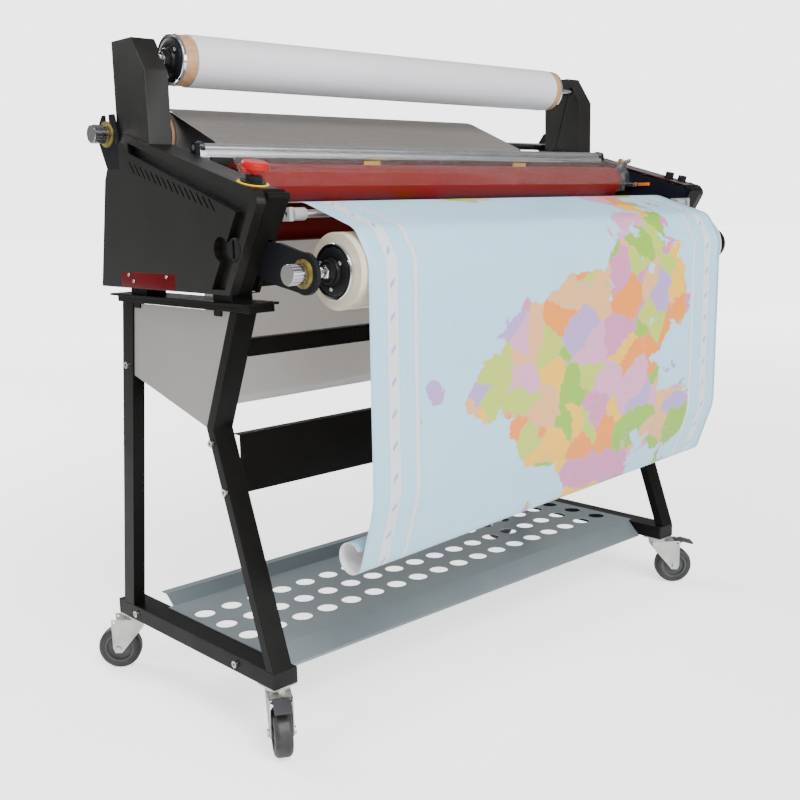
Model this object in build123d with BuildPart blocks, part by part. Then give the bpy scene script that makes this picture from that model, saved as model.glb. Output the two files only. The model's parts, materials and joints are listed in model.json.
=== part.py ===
from build123d import *
import os
from math import atan2, cos, degrees, radians, sin, tan

# Cold roll laminator on a rolling stand. Millimetres, +Z up, front towards -Y, left towards -X.
# The origin is on the floor, under the centre of the machine's overall box.

os.makedirs("parts", exist_ok=True)

# ---------------------------------------------------------------- driving dimensions
# Overall places
stand_width = 1200.0  # over the outer faces of the two side frames
stand_front_y = -210.41  # front ends of the bottom rails
caster_height = 115.0  # floor to the underside of the bottom rails
end_reach = 655.0  # outermost face of the rear tension knob, and of the collar opposite it

# Tube and sheet
rail_w = 50.0
rail_h = 30.0
tube_wall = 2.0
rail_length = 527.0
cap_lip = 4.0
cap_plug = 12.0
cap_slack = 0.2
cap_edge = 1.5
rear_leg_w = 25.0
rear_leg_d = 38.0
front_leg_w = 40.0
front_leg_d = 21.5
rear_leg_foot = 505.0  # rear edge of the rear leg on the bottom rail, from the rail's front
rear_leg_head = 430.0  # rear edge of the rear leg under the top rail
knee_y = 144.0  # front edge of the front leg at its knee
knee_h = 403.0  # knee above the bottom rail
front_leg_head = 55.0  # front edge of the front leg under the top rail
leg_height = 610.0
top_rail_h = 12.0
top_rail_front = 20.0
top_rail_length = 427.0
tab_w = 22.0
tab_h = 9.0
tab_t = 3.0
tab_gap = 3.0
front_tab_gap = 26.0
plate_t = 4.0
plate_lip = 6.0
spacer_h = 14.0
spacer_places = (60.0, 330.0)
spacer_length = 55.0
spacer_out = 5.0  # past the stand's outer face
spacer_in = 35.0

# Machine body
cabinet_outer = 623.5  # outer face of a casing from the centre plane
plate_outer = 572.0
plate_inner = 564.0
casing_wall = 3.0
channel_depth = 12.0
tower_outer = 618.0
tower_top = 430.0  # above the cabinet's underside
tower_depth = 106.0
slope = 0.277  # rise of the cabinet's top per millimetre of depth

# Rollers and shafts: y from the stand's front, z from the cabinet's underside
roller_r = 33.0
sleeve_t = 6.0
roller_half = 530.0
journal_r = 12.0
nip_y = 150.0
nip_h = 145.0
nip_gap = 1.4
lift_travel = 8.0
fit = 0.05  # radial clearance of every running fit
core_bore_r = 38.1
core_r = 43.6
mandrel_r = 9.0
front_axis = (-98.0, 36.0)
front_roll_r = 61.3
top_axis = (300.0, 396.0)
top_roll_r = 45.5
rear_axis = (402.0, 273.0)
rear_roll_r = 50.0
roll_half = 516.0
top_core = (-541.0, 487.0)
top_film = (-516.0, 469.0)
rear_film_right = 307.0
knob_r = 16.5
washer_r = 23.0
idler_axis = (-37.0, 126.0)
idler_r = 6.5
beam_axis = (203.0, 240.5)
beam_r = 8.0
lift_knob_axis = (24.0, 73.0)
lift_knob_r = 19.0

# Casters
wheel_r = 43.0
wheel_w = 32.0
trail = 38.0
hub_r = 30.0
web_half = 7.0
axle_r = 4.0
pedal_reach = 6.5
pedal_pin_r = 2.0
pedal_w = 30.0
fork_gap = 37.0
fork_t = 2.5
crown_over = 8.0
nut_r = 7.0
nut_h = 4.0
tyre_rounding = 9.0
boss_r = 11.0
boss_gap = 0.4  # between the hub's boss and each fork cheek
ring_w = 4.0
ring_inset = 1.5
pedal_pin_drop = 6.0
caster_inset = 25.0

# Print in the machine
sheet_half = 504.0
sheet_t = 0.8
curls = ((29.0, 170.0), (25.0, 120.0))  # radius and sweep of each arc of the rolled-up end

# ---------------------------------------------------------------- derived places
half = stand_width / 2
rail_z = caster_height
rail_top = rail_z + rail_h
leg_top = rail_top + leg_height
plate_z = leg_top + top_rail_h
spacer_z = plate_z + plate_t
base_z = spacer_z + spacer_h  # underside of the cabinets
y0 = stand_front_y


def place(axis):
    """Frame coordinates (y, z) of a point given from the stand's front and the cabinet's underside."""
    return (y0 + axis[0], base_z + axis[1])


nip_z = base_z + nip_h
upper_z = nip_z + nip_gap / 2 + roller_r
lower_z = nip_z - nip_gap / 2 - roller_r
roller_y = y0 + nip_y


def side_plane(x):
    """Plane across the machine at x, with its own x along +Y and its own y along +Z."""
    return Plane.YZ.offset(x)


def shaft_plane(x, y, z):
    """Plane across a shaft, centred on it, facing +X."""
    return Plane(origin=(x, y, z), x_dir=(0, 1, 0), z_dir=(1, 0, 0))


def rod(x_start, x_end, y, z, radius, mode=Mode.ADD):
    """Adds a round bar along X to the part being built."""
    with BuildSketch(shaft_plane(x_start, y, z)) as disc:
        Circle(radius)
    extrude(disc.sketch, amount=x_end - x_start, mode=mode)


def slab(x_start, x_end, points, mode=Mode.ADD):
    """Adds a plate across the machine whose outline is given as (y, z) points."""
    with BuildSketch(side_plane(x_start)) as profile:
        with BuildLine():
            Polyline(*points, close=True)
        make_face()
    extrude(profile.sketch, amount=x_end - x_start, mode=mode)


def block(low, high, mode=Mode.ADD):
    """Adds a box between two corners."""
    size = [high[i] - low[i] for i in range(3)]
    middle = [(high[i] + low[i]) / 2 for i in range(3)]
    with Locations(tuple(middle)):
        Box(size[0], size[1], size[2], mode=mode)


def save(builder, name):
    """Labels a finished piece and writes it to its own file."""
    builder.part.label = name
    export_step(builder.part, "parts/" + name + ".step")


def save_set(name, *builders):
    """Writes solids that stay separate, but always go together, to one file."""
    solids = [solid for builder in builders for solid in builder.part.solids()]
    export_step(Compound(solids, label=name), "parts/" + name + ".step")


# ---------------------------------------------------------------- stand
rail_x = -half + rail_w / 2
rail_mid_z = rail_z + rail_h / 2
with BuildPart() as bottom_rails:
    with BuildSketch(Plane(origin=(rail_x, y0 + cap_lip, rail_mid_z), x_dir=(1, 0, 0), z_dir=(0, 1, 0))):
        Rectangle(rail_w, rail_h)
        Rectangle(rail_w - 2 * tube_wall, rail_h - 2 * tube_wall, mode=Mode.SUBTRACT)
    extrude(amount=rail_length - 2 * cap_lip)
    mirror(about=Plane.YZ)
save(bottom_rails, "bottom_rails")

with BuildPart() as rail_end_caps:
    plug_w = rail_w / 2 - tube_wall - cap_slack
    plug_h = rail_h / 2 - tube_wall - cap_slack
    rear_face_y = y0 + rail_length - cap_lip
    for face_y, plug_y in ((y0, y0 + cap_lip), (rear_face_y, rear_face_y - cap_plug)):
        block((-half, face_y, rail_z), (-half + rail_w, face_y + cap_lip, rail_top))
        plug_low = (rail_x - plug_w, plug_y, rail_mid_z - plug_h)
        plug_high = (rail_x + plug_w, plug_y + cap_plug, rail_mid_z + plug_h)
        block(plug_low, plug_high)
    chamfer(rail_end_caps.edges().filter_by(Axis.X).group_by(Axis.Y)[0], cap_edge)
    mirror(about=Plane.YZ)
save(rail_end_caps, "rail_end_caps")

rear_lean = (rear_leg_foot - rear_leg_head) / leg_height


def rear_leg_outline(inset):
    """Outline of the leaning rear leg, drawn in by a wall on its front and rear edges."""
    foot = y0 + rear_leg_foot
    head = y0 + rear_leg_head
    back = [(foot - inset, rail_top), (head - inset, leg_top)]
    front = [(head - rear_leg_d + inset, leg_top), (foot - rear_leg_d + inset, rail_top)]
    return back + front


with BuildPart() as rear_legs:
    slab(-half, -half + rear_leg_w, rear_leg_outline(0))
    slab(-half + tube_wall, -half + rear_leg_w - tube_wall, rear_leg_outline(tube_wall), Mode.SUBTRACT)
    mirror(about=Plane.YZ)
save(rear_legs, "rear_legs")


def front_leg_outline(inset):
    """Outline of the kneed front leg, drawn in by a wall on its front and rear edges."""
    knee_z = rail_top + knee_h
    front = [(y0 + inset, rail_top), (y0 + knee_y + inset, knee_z), (y0 + front_leg_head + inset, leg_top)]
    back = [(y + front_leg_d - 2 * inset, z) for y, z in reversed(front)]
    return front + back


with BuildPart() as front_legs:
    slab(-half, -half + front_leg_w, front_leg_outline(0))
    slab(-half + tube_wall, -half + front_leg_w - tube_wall, front_leg_outline(tube_wall), Mode.SUBTRACT)
    mirror(about=Plane.YZ)
save(front_legs, "front_legs")

tab_places = (rear_leg_head - rear_leg_d - tab_w - tab_gap, front_leg_head + front_leg_d + front_tab_gap)
with BuildPart() as top_rails:
    rail_front = y0 + top_rail_front
    block((-half, rail_front, leg_top), (-half + rail_w, rail_front + top_rail_length, plate_z))
    for tab_y in tab_places:
        block((-half, y0 + tab_y, leg_top - tab_h), (-half + tab_t, y0 + tab_y + tab_w, leg_top))
    mirror(about=Plane.YZ)
save(top_rails, "top_rails")

cross_rail_h = 30.0
cross_rail_d = 20.0
cross_rail_z = rail_top + 531.0


def front_leg_front(z):
    """Front edge of the front leg at a height above its knee."""
    run = (z - rail_top - knee_h) / (leg_height - knee_h)
    return y0 + knee_y + (front_leg_head - knee_y) * run


with BuildPart() as upper_cross_rail:
    rail_y = front_leg_front(cross_rail_z + cross_rail_h / 2) + front_leg_d / 2
    with BuildSketch(side_plane(-half + front_leg_w)):
        with Locations((rail_y, cross_rail_z + cross_rail_h / 2)):
            Rectangle(cross_rail_d, cross_rail_h)
            Rectangle(cross_rail_d - 2 * tube_wall, cross_rail_h - 2 * tube_wall, mode=Mode.SUBTRACT)
    extrude(amount=stand_width - 2 * front_leg_w)
save(upper_cross_rail, "upper_cross_rail")

panel_h = 105.0
panel_z = rail_top + 286.0
panel_flange = 20.0
panel_y = y0 + 124.0
with BuildPart() as lower_cross_panel:
    panel_half = half - front_leg_w
    panel_top = panel_z + panel_h
    block((-panel_half, panel_y, panel_z), (panel_half, panel_y + panel_flange, panel_top))
    block(
        (-panel_half, panel_y + tube_wall, panel_z + tube_wall),
        (panel_half, panel_y + panel_flange, panel_top - tube_wall),
        Mode.SUBTRACT,
    )
save(lower_cross_panel, "lower_cross_panel")

# Perforated shelf: its floor rests on the bottom rails, its front turns down between them
shelf_t = 2.0
shelf_overlap = 10.0
shelf_front = y0 + 92.0
shelf_back = y0 + 402.0
shelf_hole_r = 20.0
shelf_pitch_x = 62.0
shelf_pitch_y = 74.5
shelf_columns = 18
shelf_rows = 3
shelf_side_gap = 1.5  # from the turned edges to the rails they pass between
front_run = 28.0  # the front edge slopes out by this, and down by the rail's height
front_hem = 8.0
rear_run = 24.0
rear_rise = 20.0
rear_ledge = 18.0
with BuildPart() as shelf_tray:
    inner = half - rail_w - shelf_side_gap
    outer = half - rail_w + shelf_overlap
    block((-outer, shelf_front, rail_top), (outer, shelf_back, rail_top + shelf_t))
    front_y = shelf_front - front_run
    front_edge = [
        (shelf_front, rail_top + shelf_t),
        (shelf_front, rail_top),
        (front_y, rail_z),
        (front_y + front_hem, rail_z),
        (front_y + front_hem, rail_z - shelf_t),
        (front_y - 2 * shelf_t, rail_z - shelf_t),
        (front_y - shelf_t, rail_z + shelf_t),
    ]
    slab(-inner, inner, front_edge)
    rear_y = shelf_back + rear_run
    rear_edge = [
        (shelf_back, rail_top),
        (rear_y, rail_top + rear_rise),
        (rear_y + rear_ledge, rail_top + rear_rise),
        (rear_y + rear_ledge, rail_top + rear_rise + shelf_t),
        (rear_y - shelf_t / 2, rail_top + rear_rise + shelf_t),
        (shelf_back, rail_top + shelf_t),
    ]
    slab(-inner, inner, rear_edge)
    with BuildSketch(Plane.XY.offset(rail_top + shelf_t)):
        with Locations((0, (shelf_front + shelf_back) / 2)):
            with GridLocations(shelf_pitch_x, shelf_pitch_y, shelf_columns, shelf_rows):
                Circle(shelf_hole_r)
    extrude(amount=-shelf_t, mode=Mode.SUBTRACT)
save(shelf_tray, "shelf_tray")

# Grey sheet panels that fill the upper half of each side frame
panel_gap = 1.0
panel_sheet_t = 1.5
panel_rear_drop = 138.0
with BuildPart() as infill_panels:
    head_y = y0 + rear_leg_head - rear_leg_d - panel_gap
    knee_rear = y0 + knee_y + front_leg_d + panel_gap
    slab(
        -half + tab_t,
        -half + tab_t + panel_sheet_t,
        [
            (head_y, leg_top - panel_gap),
            (y0 + front_leg_head + front_leg_d + panel_gap, leg_top - panel_gap),
            (knee_rear, rail_top + knee_h),
            (head_y + rear_lean * panel_rear_drop, leg_top - panel_rear_drop),
        ],
    )
    mirror(about=Plane.YZ)
save(infill_panels, "infill_panels")

bolt_head_r = 6.5
bolt_head_h = 5.0
bolt_socket_r = 3.2
bolt_socket_depth = 3.0
rear_bolt_h = 490.0  # above the bottom rail
# Bolts of one side frame: distance from its front and height above the rail's underside
bolt_places = (
    (rear_leg_foot - rear_leg_d / 2 - rear_lean * rear_bolt_h, rail_h + rear_bolt_h),
    (knee_y + 7.0, rail_h + 378.0),
    (knee_y - 28.0, rail_h + 297.0),
    (456.0, rail_h / 2),
    (112.0, rail_h / 2),
)
with BuildPart() as stand_bolts:
    for bolt_y, bolt_z in bolt_places:
        rod(-half - bolt_head_h, -half, y0 + bolt_y, rail_z + bolt_z, bolt_head_r)
        with BuildSketch(shaft_plane(-half - bolt_head_h, y0 + bolt_y, rail_z + bolt_z)):
            RegularPolygon(bolt_socket_r, 6)
        extrude(amount=bolt_socket_depth, mode=Mode.SUBTRACT)
    mirror(about=Plane.YZ)
save(stand_bolts, "stand_bolts")

with BuildPart() as mount_plates:
    front = y0 + top_rail_front - plate_lip
    back = y0 + top_rail_front + top_rail_length + plate_lip
    block((-half - 2 * plate_lip, front, plate_z), (-half + rail_w + spacer_out, back, spacer_z))
    mirror(about=Plane.YZ)
save(mount_plates, "mount_plates")

with BuildPart() as plate_spacers:
    for spacer_y in spacer_places:
        spacer_low = (-half - spacer_out, y0 + spacer_y, spacer_z)
        block(spacer_low, (-half + spacer_in, y0 + spacer_y + spacer_length, base_z))
    mirror(about=Plane.YZ)
save(plate_spacers, "plate_spacers")

# ---------------------------------------------------------------- casters
caster_front_y = y0 + caster_inset
caster_rear_y = y0 + rail_length - caster_inset
caster_x = half - rail_w / 2
# Corner name, place and the direction in which its wheel trails
corners = (
    ("front_left", -caster_x, caster_front_y, 240.0),
    ("front_right", caster_x, caster_front_y, -42.0),
    ("rear_left", -caster_x, caster_rear_y, 138.0),
    ("rear_right", caster_x, caster_rear_y, 100.0),
)
plate_low = caster_height - 3.0
race_low = caster_height - 9.0
fork_high = race_low - 0.4
fork_low = fork_high - 6.0
head_plate_half = 24.0
race_r = 22.0
pin_r = 5.0
pin_tail = 5.0
rivet_r = 8.0
rivet_h = 4.0
rivet_gap = 1.2

with BuildPart() as caster_heads:
    for name, cx, cy, angle in corners:
        plate_corner = (cx - head_plate_half, cy - head_plate_half, plate_low)
        block(plate_corner, (cx + head_plate_half, cy + head_plate_half, caster_height))
        with Locations((cx, cy, (race_low + plate_low) / 2)):
            Cylinder(race_r, plate_low - race_low)
        with Locations((cx, cy, (fork_low - pin_tail + race_low) / 2)):
            Cylinder(pin_r, race_low - fork_low + pin_tail)
        with Locations((cx, cy, fork_low - rivet_gap - rivet_h / 2)):
            Cylinder(rivet_r, rivet_h)
save(caster_heads, "caster_heads")


def along(angle, cx, cy, distance, z, side=0.0):
    """A point ahead of a caster's pin along its trail, and to one side of it."""
    a = radians(angle)
    return (cx + distance * cos(a) - side * sin(a), cy + distance * sin(a) + side * cos(a), z)


def wheel_plane(angle, cx, cy, side):
    """Plane across a caster's axle, at a distance to one side, with x along the trail and y up."""
    a = radians(angle)
    centre = along(angle, cx, cy, 0, 0, -side)
    return Plane(origin=centre, x_dir=(cos(a), sin(a), 0), z_dir=(sin(a), -cos(a), 0))


def caster_fork(angle, cx, cy):
    """Bent steel fork with its crown over the pin, and the axle bolt through its two cheeks."""
    cheek = fork_gap / 2
    with BuildPart() as fork:
        a = radians(angle)
        with BuildSketch(Plane(origin=(cx, cy, fork_low), x_dir=(cos(a), sin(a), 0), z_dir=(0, 0, 1))):
            Circle(cheek + fork_t)
            with Locations((trail / 2 - crown_over / 2, 0)):
                Rectangle(trail + crown_over, 2 * cheek + 2 * fork_t)
            Circle(pin_r + fit, mode=Mode.SUBTRACT)
        extrude(amount=fork_high - fork_low)
        for side in (-cheek - fork_t, cheek):
            with BuildSketch(wheel_plane(angle, cx, cy, side)):
                with BuildLine():
                    Polyline(
                        (-16, fork_high),
                        (trail + 12, fork_high),
                        (trail + 11, wheel_r + 2),
                        (trail + 7, wheel_r - 8),
                        (trail - 7, wheel_r - 8),
                        (-16, fork_low - 8),
                        close=True,
                    )
                make_face()
                with Locations((trail, wheel_r)):
                    Circle(axle_r, mode=Mode.SUBTRACT)
                with Locations((trail + pedal_reach, fork_high - pedal_pin_drop)):
                    Circle(pedal_pin_r + fit, mode=Mode.SUBTRACT)
            extrude(amount=fork_t)
        with BuildSketch(wheel_plane(angle, cx, cy, -cheek - fork_t)):
            with Locations((trail, wheel_r)):
                Circle(axle_r)
        extrude(amount=2 * cheek + 2 * fork_t)
        for side in (-cheek - fork_t - nut_h, cheek + fork_t):
            with BuildSketch(wheel_plane(angle, cx, cy, side)):
                with Locations((trail, wheel_r)):
                    RegularPolygon(nut_r, 6)
            extrude(amount=nut_h)
    return fork


def caster_wheel(angle, cx, cy):
    """Grey hub and the rounded tyre moulded round it."""
    with BuildPart() as tyre:
        with BuildSketch(wheel_plane(angle, cx, cy, 0)):
            with Locations((trail, wheel_r)):
                Circle(wheel_r)
        extrude(amount=wheel_w / 2, both=True)
        fillet(tyre.edges().filter_by(GeomType.CIRCLE), tyre_rounding)
        with BuildSketch(wheel_plane(angle, cx, cy, -wheel_w / 2)):
            with Locations((trail, wheel_r)):
                Circle(hub_r)
        extrude(amount=wheel_w, mode=Mode.SUBTRACT)
    with BuildPart() as hub:
        for reach, radius in ((fork_gap / 2 - boss_gap, boss_r), (web_half, hub_r - ring_w / 2)):
            with BuildSketch(wheel_plane(angle, cx, cy, -reach)):
                with Locations((trail, wheel_r)):
                    Circle(radius)
            extrude(amount=2 * reach)
        with BuildSketch(wheel_plane(angle, cx, cy, -wheel_w / 2 + ring_inset)):
            with Locations((trail, wheel_r)):
                Circle(hub_r)
                Circle(hub_r - ring_w, mode=Mode.SUBTRACT)
        extrude(amount=wheel_w - 2 * ring_inset)
        with BuildSketch(wheel_plane(angle, cx, cy, -fork_gap / 2)):
            with Locations((trail, wheel_r)):
                Circle(axle_r + fit)
        extrude(amount=fork_gap, mode=Mode.SUBTRACT)
    return tyre, hub


def brake_pedal(angle, cx, cy):
    """Foot pedal over the wheel, turning on a pin through the fork's cheeks."""
    cheek = fork_gap / 2
    pin = (trail + pedal_reach, fork_high - pedal_pin_drop)
    with BuildPart() as pedal:
        with BuildSketch(wheel_plane(angle, cx, cy, -pedal_w / 2)):
            with Locations(pin):
                Circle(4)
            with BuildLine():
                Polyline(
                    (pin[0] - 2, pin[1] + 3.4),
                    (pin[0] + 14, pin[1] + 7),
                    (pin[0] + 40, pin[1] - 1),
                    (pin[0] + 38, pin[1] - 5),
                    (pin[0] + 14, pin[1] + 2),
                    (pin[0], pin[1] - 3.9),
                    close=True,
                )
            make_face()
        extrude(amount=pedal_w)
        with BuildSketch(wheel_plane(angle, cx, cy, -cheek - fork_t)):
            with Locations(pin):
                Circle(pedal_pin_r)
        extrude(amount=2 * (cheek + fork_t))
    return pedal


for name, cx, cy, angle in corners:
    save(caster_fork(angle, cx, cy), "caster_fork_" + name)
    save_set("caster_wheel_" + name, *caster_wheel(angle, cx, cy))
    if name.startswith("front"):
        save(brake_pedal(angle, cx, cy), "brake_pedal_" + name)

# ---------------------------------------------------------------- cabinets
# Outline of a cabinet from the side, (y, z) from the stand's front and the cabinet's underside
nose_low = (-49.0, 150.0)
foot_front = (40.0, 0.0)
foot_rear = (459.0, 0.0)
rear_shoulder = (421.0, 193.0)
rear_bevel = (410.0, 214.0)
top_rear = (344.0, 270.0)
top_front = (-36.0, 270.0 - slope * 380.0)


def outline(inset, front_inset=None):
    """Cabinet outline as frame points, drawn in by an inset all round."""
    if front_inset is None:
        front_inset = inset
    return [
        (y0 + foot_front[0] + front_inset * 1.1, base_z + inset),
        (y0 + foot_rear[0] - inset, base_z + inset),
        (y0 + rear_shoulder[0] - inset, base_z + rear_shoulder[1]),
        (y0 + rear_bevel[0] - inset, base_z + rear_bevel[1] - inset * 0.5),
        (y0 + top_rear[0] - inset * 0.5, base_z + top_rear[1] - inset),
        (y0 + top_front[0] + front_inset, base_z + top_front[1] - inset),
        (y0 + nose_low[0] + front_inset * 1.2, base_z + nose_low[1]),
    ]


tower_front_y = y0 + 269.0
tower_back_y = tower_front_y + tower_depth
lower_bearing_r = 21.0
bearing_flange = 6.0
ear_r = 9.0
arm_t = 8.0
fork_plate_t = 5.0
beam_pin_r = 5.0
nose_bar_r = 6.0
nose_bar_y = y0 + nose_low[0] + 3.5
nose_bar_z = base_z + nose_low[1] + 4.0
block_size = 44.0


def side_plate(sign):
    """Steel side plate with the roller seats, the lift slot and the shaft holes."""
    x_low = -plate_outer if sign < 0 else plate_inner
    x_high = x_low + plate_outer - plate_inner
    with BuildPart() as plate:
        slab(x_low, x_high, outline(casing_wall + 0.5, 6))
        beam_y, beam_z = place(beam_axis)
        block((x_low, beam_y - ear_r, beam_z - 40), (x_high, beam_y + ear_r, beam_z))
        rod(x_low, x_high, beam_y, beam_z, ear_r)
        rod(x_low, x_high, nose_bar_y, nose_bar_z, nose_bar_r + 0.5, Mode.SUBTRACT)
        rod(x_low, x_high, roller_y, lower_z, lower_bearing_r, Mode.SUBTRACT)
        slot_low = upper_z - block_size / 2 - 0.3
        block(
            (x_low, roller_y - block_size / 2 - 0.3, slot_low),
            (x_high, roller_y + block_size / 2 + 0.3, slot_low + block_size + lift_travel + 1),
            Mode.SUBTRACT,
        )
        rod(x_low, x_high, beam_y, beam_z, beam_pin_r + fit, Mode.SUBTRACT)
    return plate


save(side_plate(-1), "left_side_plate")
save(side_plate(1), "right_side_plate")

estop_x = -595.0
estop_y = 2.0
dial_x = 597.0
dial_places = (29.0, -4.0)
dial_pin_r = 3.0
button_place = (600.0, -27.0)
button_r = 4.0
button_stand = 4.0
button_length = 9.0
estop_stem_r = 7.0
estop_hole_r = 8.0
# Holes in the two decks: place on the machine and radius, the right-hand ones as drawn on the left
deck_holes_left = [(estop_x, estop_y, estop_hole_r)]
deck_holes_right = [(-dial_x, y, dial_pin_r + fit) for y in dial_places]
deck_holes_right += [(-button_place[0], button_place[1], button_r + fit)]


top_tilt = degrees(atan2(slope, 1.0))


def deck_plane(x, y):
    """Plane on the sloping top of a cabinet, facing up and forward, with its x along the machine."""
    z = base_z + top_front[1] + slope * (y - top_front[0])
    tilt = radians(top_tilt)
    return Plane(origin=(x, y0 + y, z), x_dir=(1, 0, 0), z_dir=(0, -sin(tilt), cos(tilt)))


rim = 16.0
channel = 17.0
vent_count = 15
vent_length = 26.0
vent_w = 3.0
vent_pitch = 17.4
vent_turn = 52.0
vent_rear = 322.0  # rearmost vent from the stand's front
vent_drop = 20.0  # vents below the channel
casing_rounding = 14.0
cover_outer = 605.5
cover_side_gap = 0.5
front_drop = 5.5  # the casing's front edge lies behind the nose cover by this
window_below = 34.0  # window for a film arm, from the front shaft's height
window_above = 51.0
window_half = 60.0
deck_t = 12.0


def fork_outline():
    """Outline of a rear bracket, which also shapes its seat in the casing."""
    fork_y, fork_z = place(rear_axis)
    return [
        (fork_y - 36, fork_z - 2),
        (fork_y - 24, fork_z + 34),
        (fork_y + 16, fork_z + 34),
        (fork_y + 34, fork_z + 12),
        (fork_y + 33, fork_z - 14),
        (fork_y + 8, fork_z - 62),
        (fork_y - 37, fork_z - 62),
    ]


tower_gap = 0.5
tower_step = 7.0  # the tower's foot is thinner, so that the casing's channel passes outside it
tower_foot_z = base_z + 150.0
step_end_y = y0 + 345.5
channel_depth_top = rim - 2.0


def deck_line(y):
    """Height, just inside the rim of the casing, at which the tower steps in."""
    return base_z + top_front[1] + slope * (y - y0 - top_front[0]) - channel_depth_top


def channel_edge(offset, corner_shift=0.0):
    """Rear end and front corner of a line along the sunk channel, drawn in from the cabinet's top."""
    rear = (y0 + top_rear[0] - channel_depth, base_z + top_rear[1] - offset)
    corner = (y0 + top_front[0] + offset + corner_shift, base_z + top_front[1] - offset)
    return rear, corner


def casing(sign):
    """Moulded outer casing: an open shell with a sunk channel, a raised field and vents."""
    with BuildPart() as shell:
        slab(-cabinet_outer, -plate_outer, outline(0))
        fillet(shell.edges().filter_by(Axis.X).group_by(Axis.Y)[0], casing_rounding)
        cover_seat = [
            (y0 + foot_front[0] - window_half, base_z - 1),
            (y0 + foot_front[0] + front_drop, base_z - 1),
            (y0 + nose_low[0] + front_drop * 1.2, base_z + nose_low[1]),
            (y0 + top_front[0] + front_drop, base_z + top_front[1] - 3.5),
            (y0 + top_front[0] + front_drop, base_z + top_front[1] + 20),
            (y0 + top_front[0] - window_half, base_z + top_front[1] + 20),
        ]
        seat_x = -cover_outer - cover_side_gap
        slab(seat_x, -plate_outer, cover_seat, Mode.SUBTRACT)
        rod(seat_x, -plate_outer, nose_bar_y, nose_bar_z, nose_bar_r + 0.5, Mode.SUBTRACT)
        arm_z = place(front_axis)[1]
        block(
            (-plate_outer - arm_t - cover_side_gap, y0 - window_half, arm_z - window_below),
            (-plate_outer, y0 + window_half, arm_z + window_above),
            Mode.SUBTRACT,
        )
        slab(-cabinet_outer, -cabinet_outer + fork_plate_t, fork_outline(), Mode.SUBTRACT)
        hollow_x = -cabinet_outer + channel_depth + casing_wall
        slab(hollow_x, -plate_outer, outline(casing_wall, 9), Mode.SUBTRACT)
        block(
            (-plate_outer - 1, place(beam_axis)[0] - ear_r - 1, base_z + 180),
            (-plate_outer, place(beam_axis)[0] + ear_r + 1, base_z + 260),
            Mode.SUBTRACT,
        )
        upper, corner = channel_edge(rim, 6)
        upper_in, corner_in = channel_edge(rim + channel, 14)
        lower = (y0 + nose_low[0] + rim + 6, base_z + nose_low[1] - 4)
        foot_out = (y0 + foot_front[0] + 12, base_z + 8)
        foot_in = (y0 + foot_front[0] + 50, base_z + 8)
        slab(
            -cabinet_outer,
            -cabinet_outer + channel_depth,
            [upper, corner, lower, foot_out, foot_in, corner_in, upper_in],
            Mode.SUBTRACT,
        )
        knob_y, knob_z = place(lift_knob_axis)
        rod(-cabinet_outer, -cabinet_outer + channel_depth, knob_y, knob_z, lift_knob_r + 2.5, Mode.SUBTRACT)
        rod(-cabinet_outer, -cabinet_outer + channel_depth, knob_y + 34, knob_z, 20, Mode.SUBTRACT)
        rod(-cabinet_outer, -plate_outer, knob_y, knob_z, 5 + fit, Mode.SUBTRACT)
        field = [
            (foot_in[0] + 14, base_z + 14),
            (y0 + foot_rear[0] - 12, base_z + 14),
            (y0 + rear_bevel[0] - 14, base_z + rear_bevel[1] - 20),
            (upper_in[0] - 18, upper_in[1] - 12),
            (corner_in[0] + 24, corner_in[1] - 6),
            (knob_y + 64, knob_z + 30),
            (knob_y + 64, knob_z - 30),
        ]
        slab(-cabinet_outer + casing_wall, hollow_x + 1, field, Mode.SUBTRACT)
        for i in range(vent_count):
            vent_y = y0 + vent_rear - i * vent_pitch
            top_here = base_z + top_front[1] + slope * (vent_y - y0 - top_front[0])
            with BuildSketch(shaft_plane(-cabinet_outer, vent_y, top_here - rim - channel - vent_drop)):
                SlotOverall(vent_length, vent_w, rotation=vent_turn)
            extrude(amount=casing_wall + 1, mode=Mode.SUBTRACT)
        front = tower_front_y - tower_gap
        back = tower_back_y + tower_gap
        high = base_z + 300
        foot_x = -tower_outer + tower_step
        block((foot_x - tower_gap, front, tower_foot_z), (-plate_outer, back, high), Mode.SUBTRACT)
        line = [(front, deck_line(front) - 1), (step_end_y, deck_line(step_end_y) - 1)]
        seat = line + [(step_end_y, tower_foot_z), (back, tower_foot_z), (back, high), (front, high)]
        slab(-tower_outer - tower_gap, foot_x, seat, Mode.SUBTRACT)
        holes = deck_holes_left if sign < 0 else deck_holes_right
        for hole_x, hole_y, hole_r in holes:
            deck = deck_plane(hole_x, hole_y)
            with BuildSketch(deck.offset(4)):
                Circle(hole_r)
            extrude(amount=-deck_t, mode=Mode.SUBTRACT)
        if sign > 0:
            mirror(about=Plane.YZ, mode=Mode.REPLACE)
    return shell


save(casing(-1), "left_casing")
save(casing(1), "right_casing")

with BuildPart() as nose_covers:
    cover_top = base_z + top_front[1]
    cover = [
        (y0 + foot_front[0], base_z + 1),
        (y0 + foot_front[0] + 4, base_z + 1),
        (y0 + nose_low[0] + 5, base_z + nose_low[1]),
        (y0 + top_front[0] + 4, cover_top - 3),
        (y0 + top_front[0], cover_top),
        (y0 + nose_low[0], base_z + nose_low[1]),
    ]
    slab(-cover_outer, -plate_inner, cover)
    rod(-cover_outer, -plate_inner, nose_bar_y, nose_bar_z, nose_bar_r)
    arm_z = place(front_axis)[1]
    block(
        (-plate_outer - arm_t - cover_side_gap, y0 - window_half, arm_z - window_below),
        (-plate_outer + cover_side_gap, y0 + window_half, arm_z + window_above),
        Mode.SUBTRACT,
    )
    mirror(about=Plane.YZ)
save(nose_covers, "nose_covers")

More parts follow.
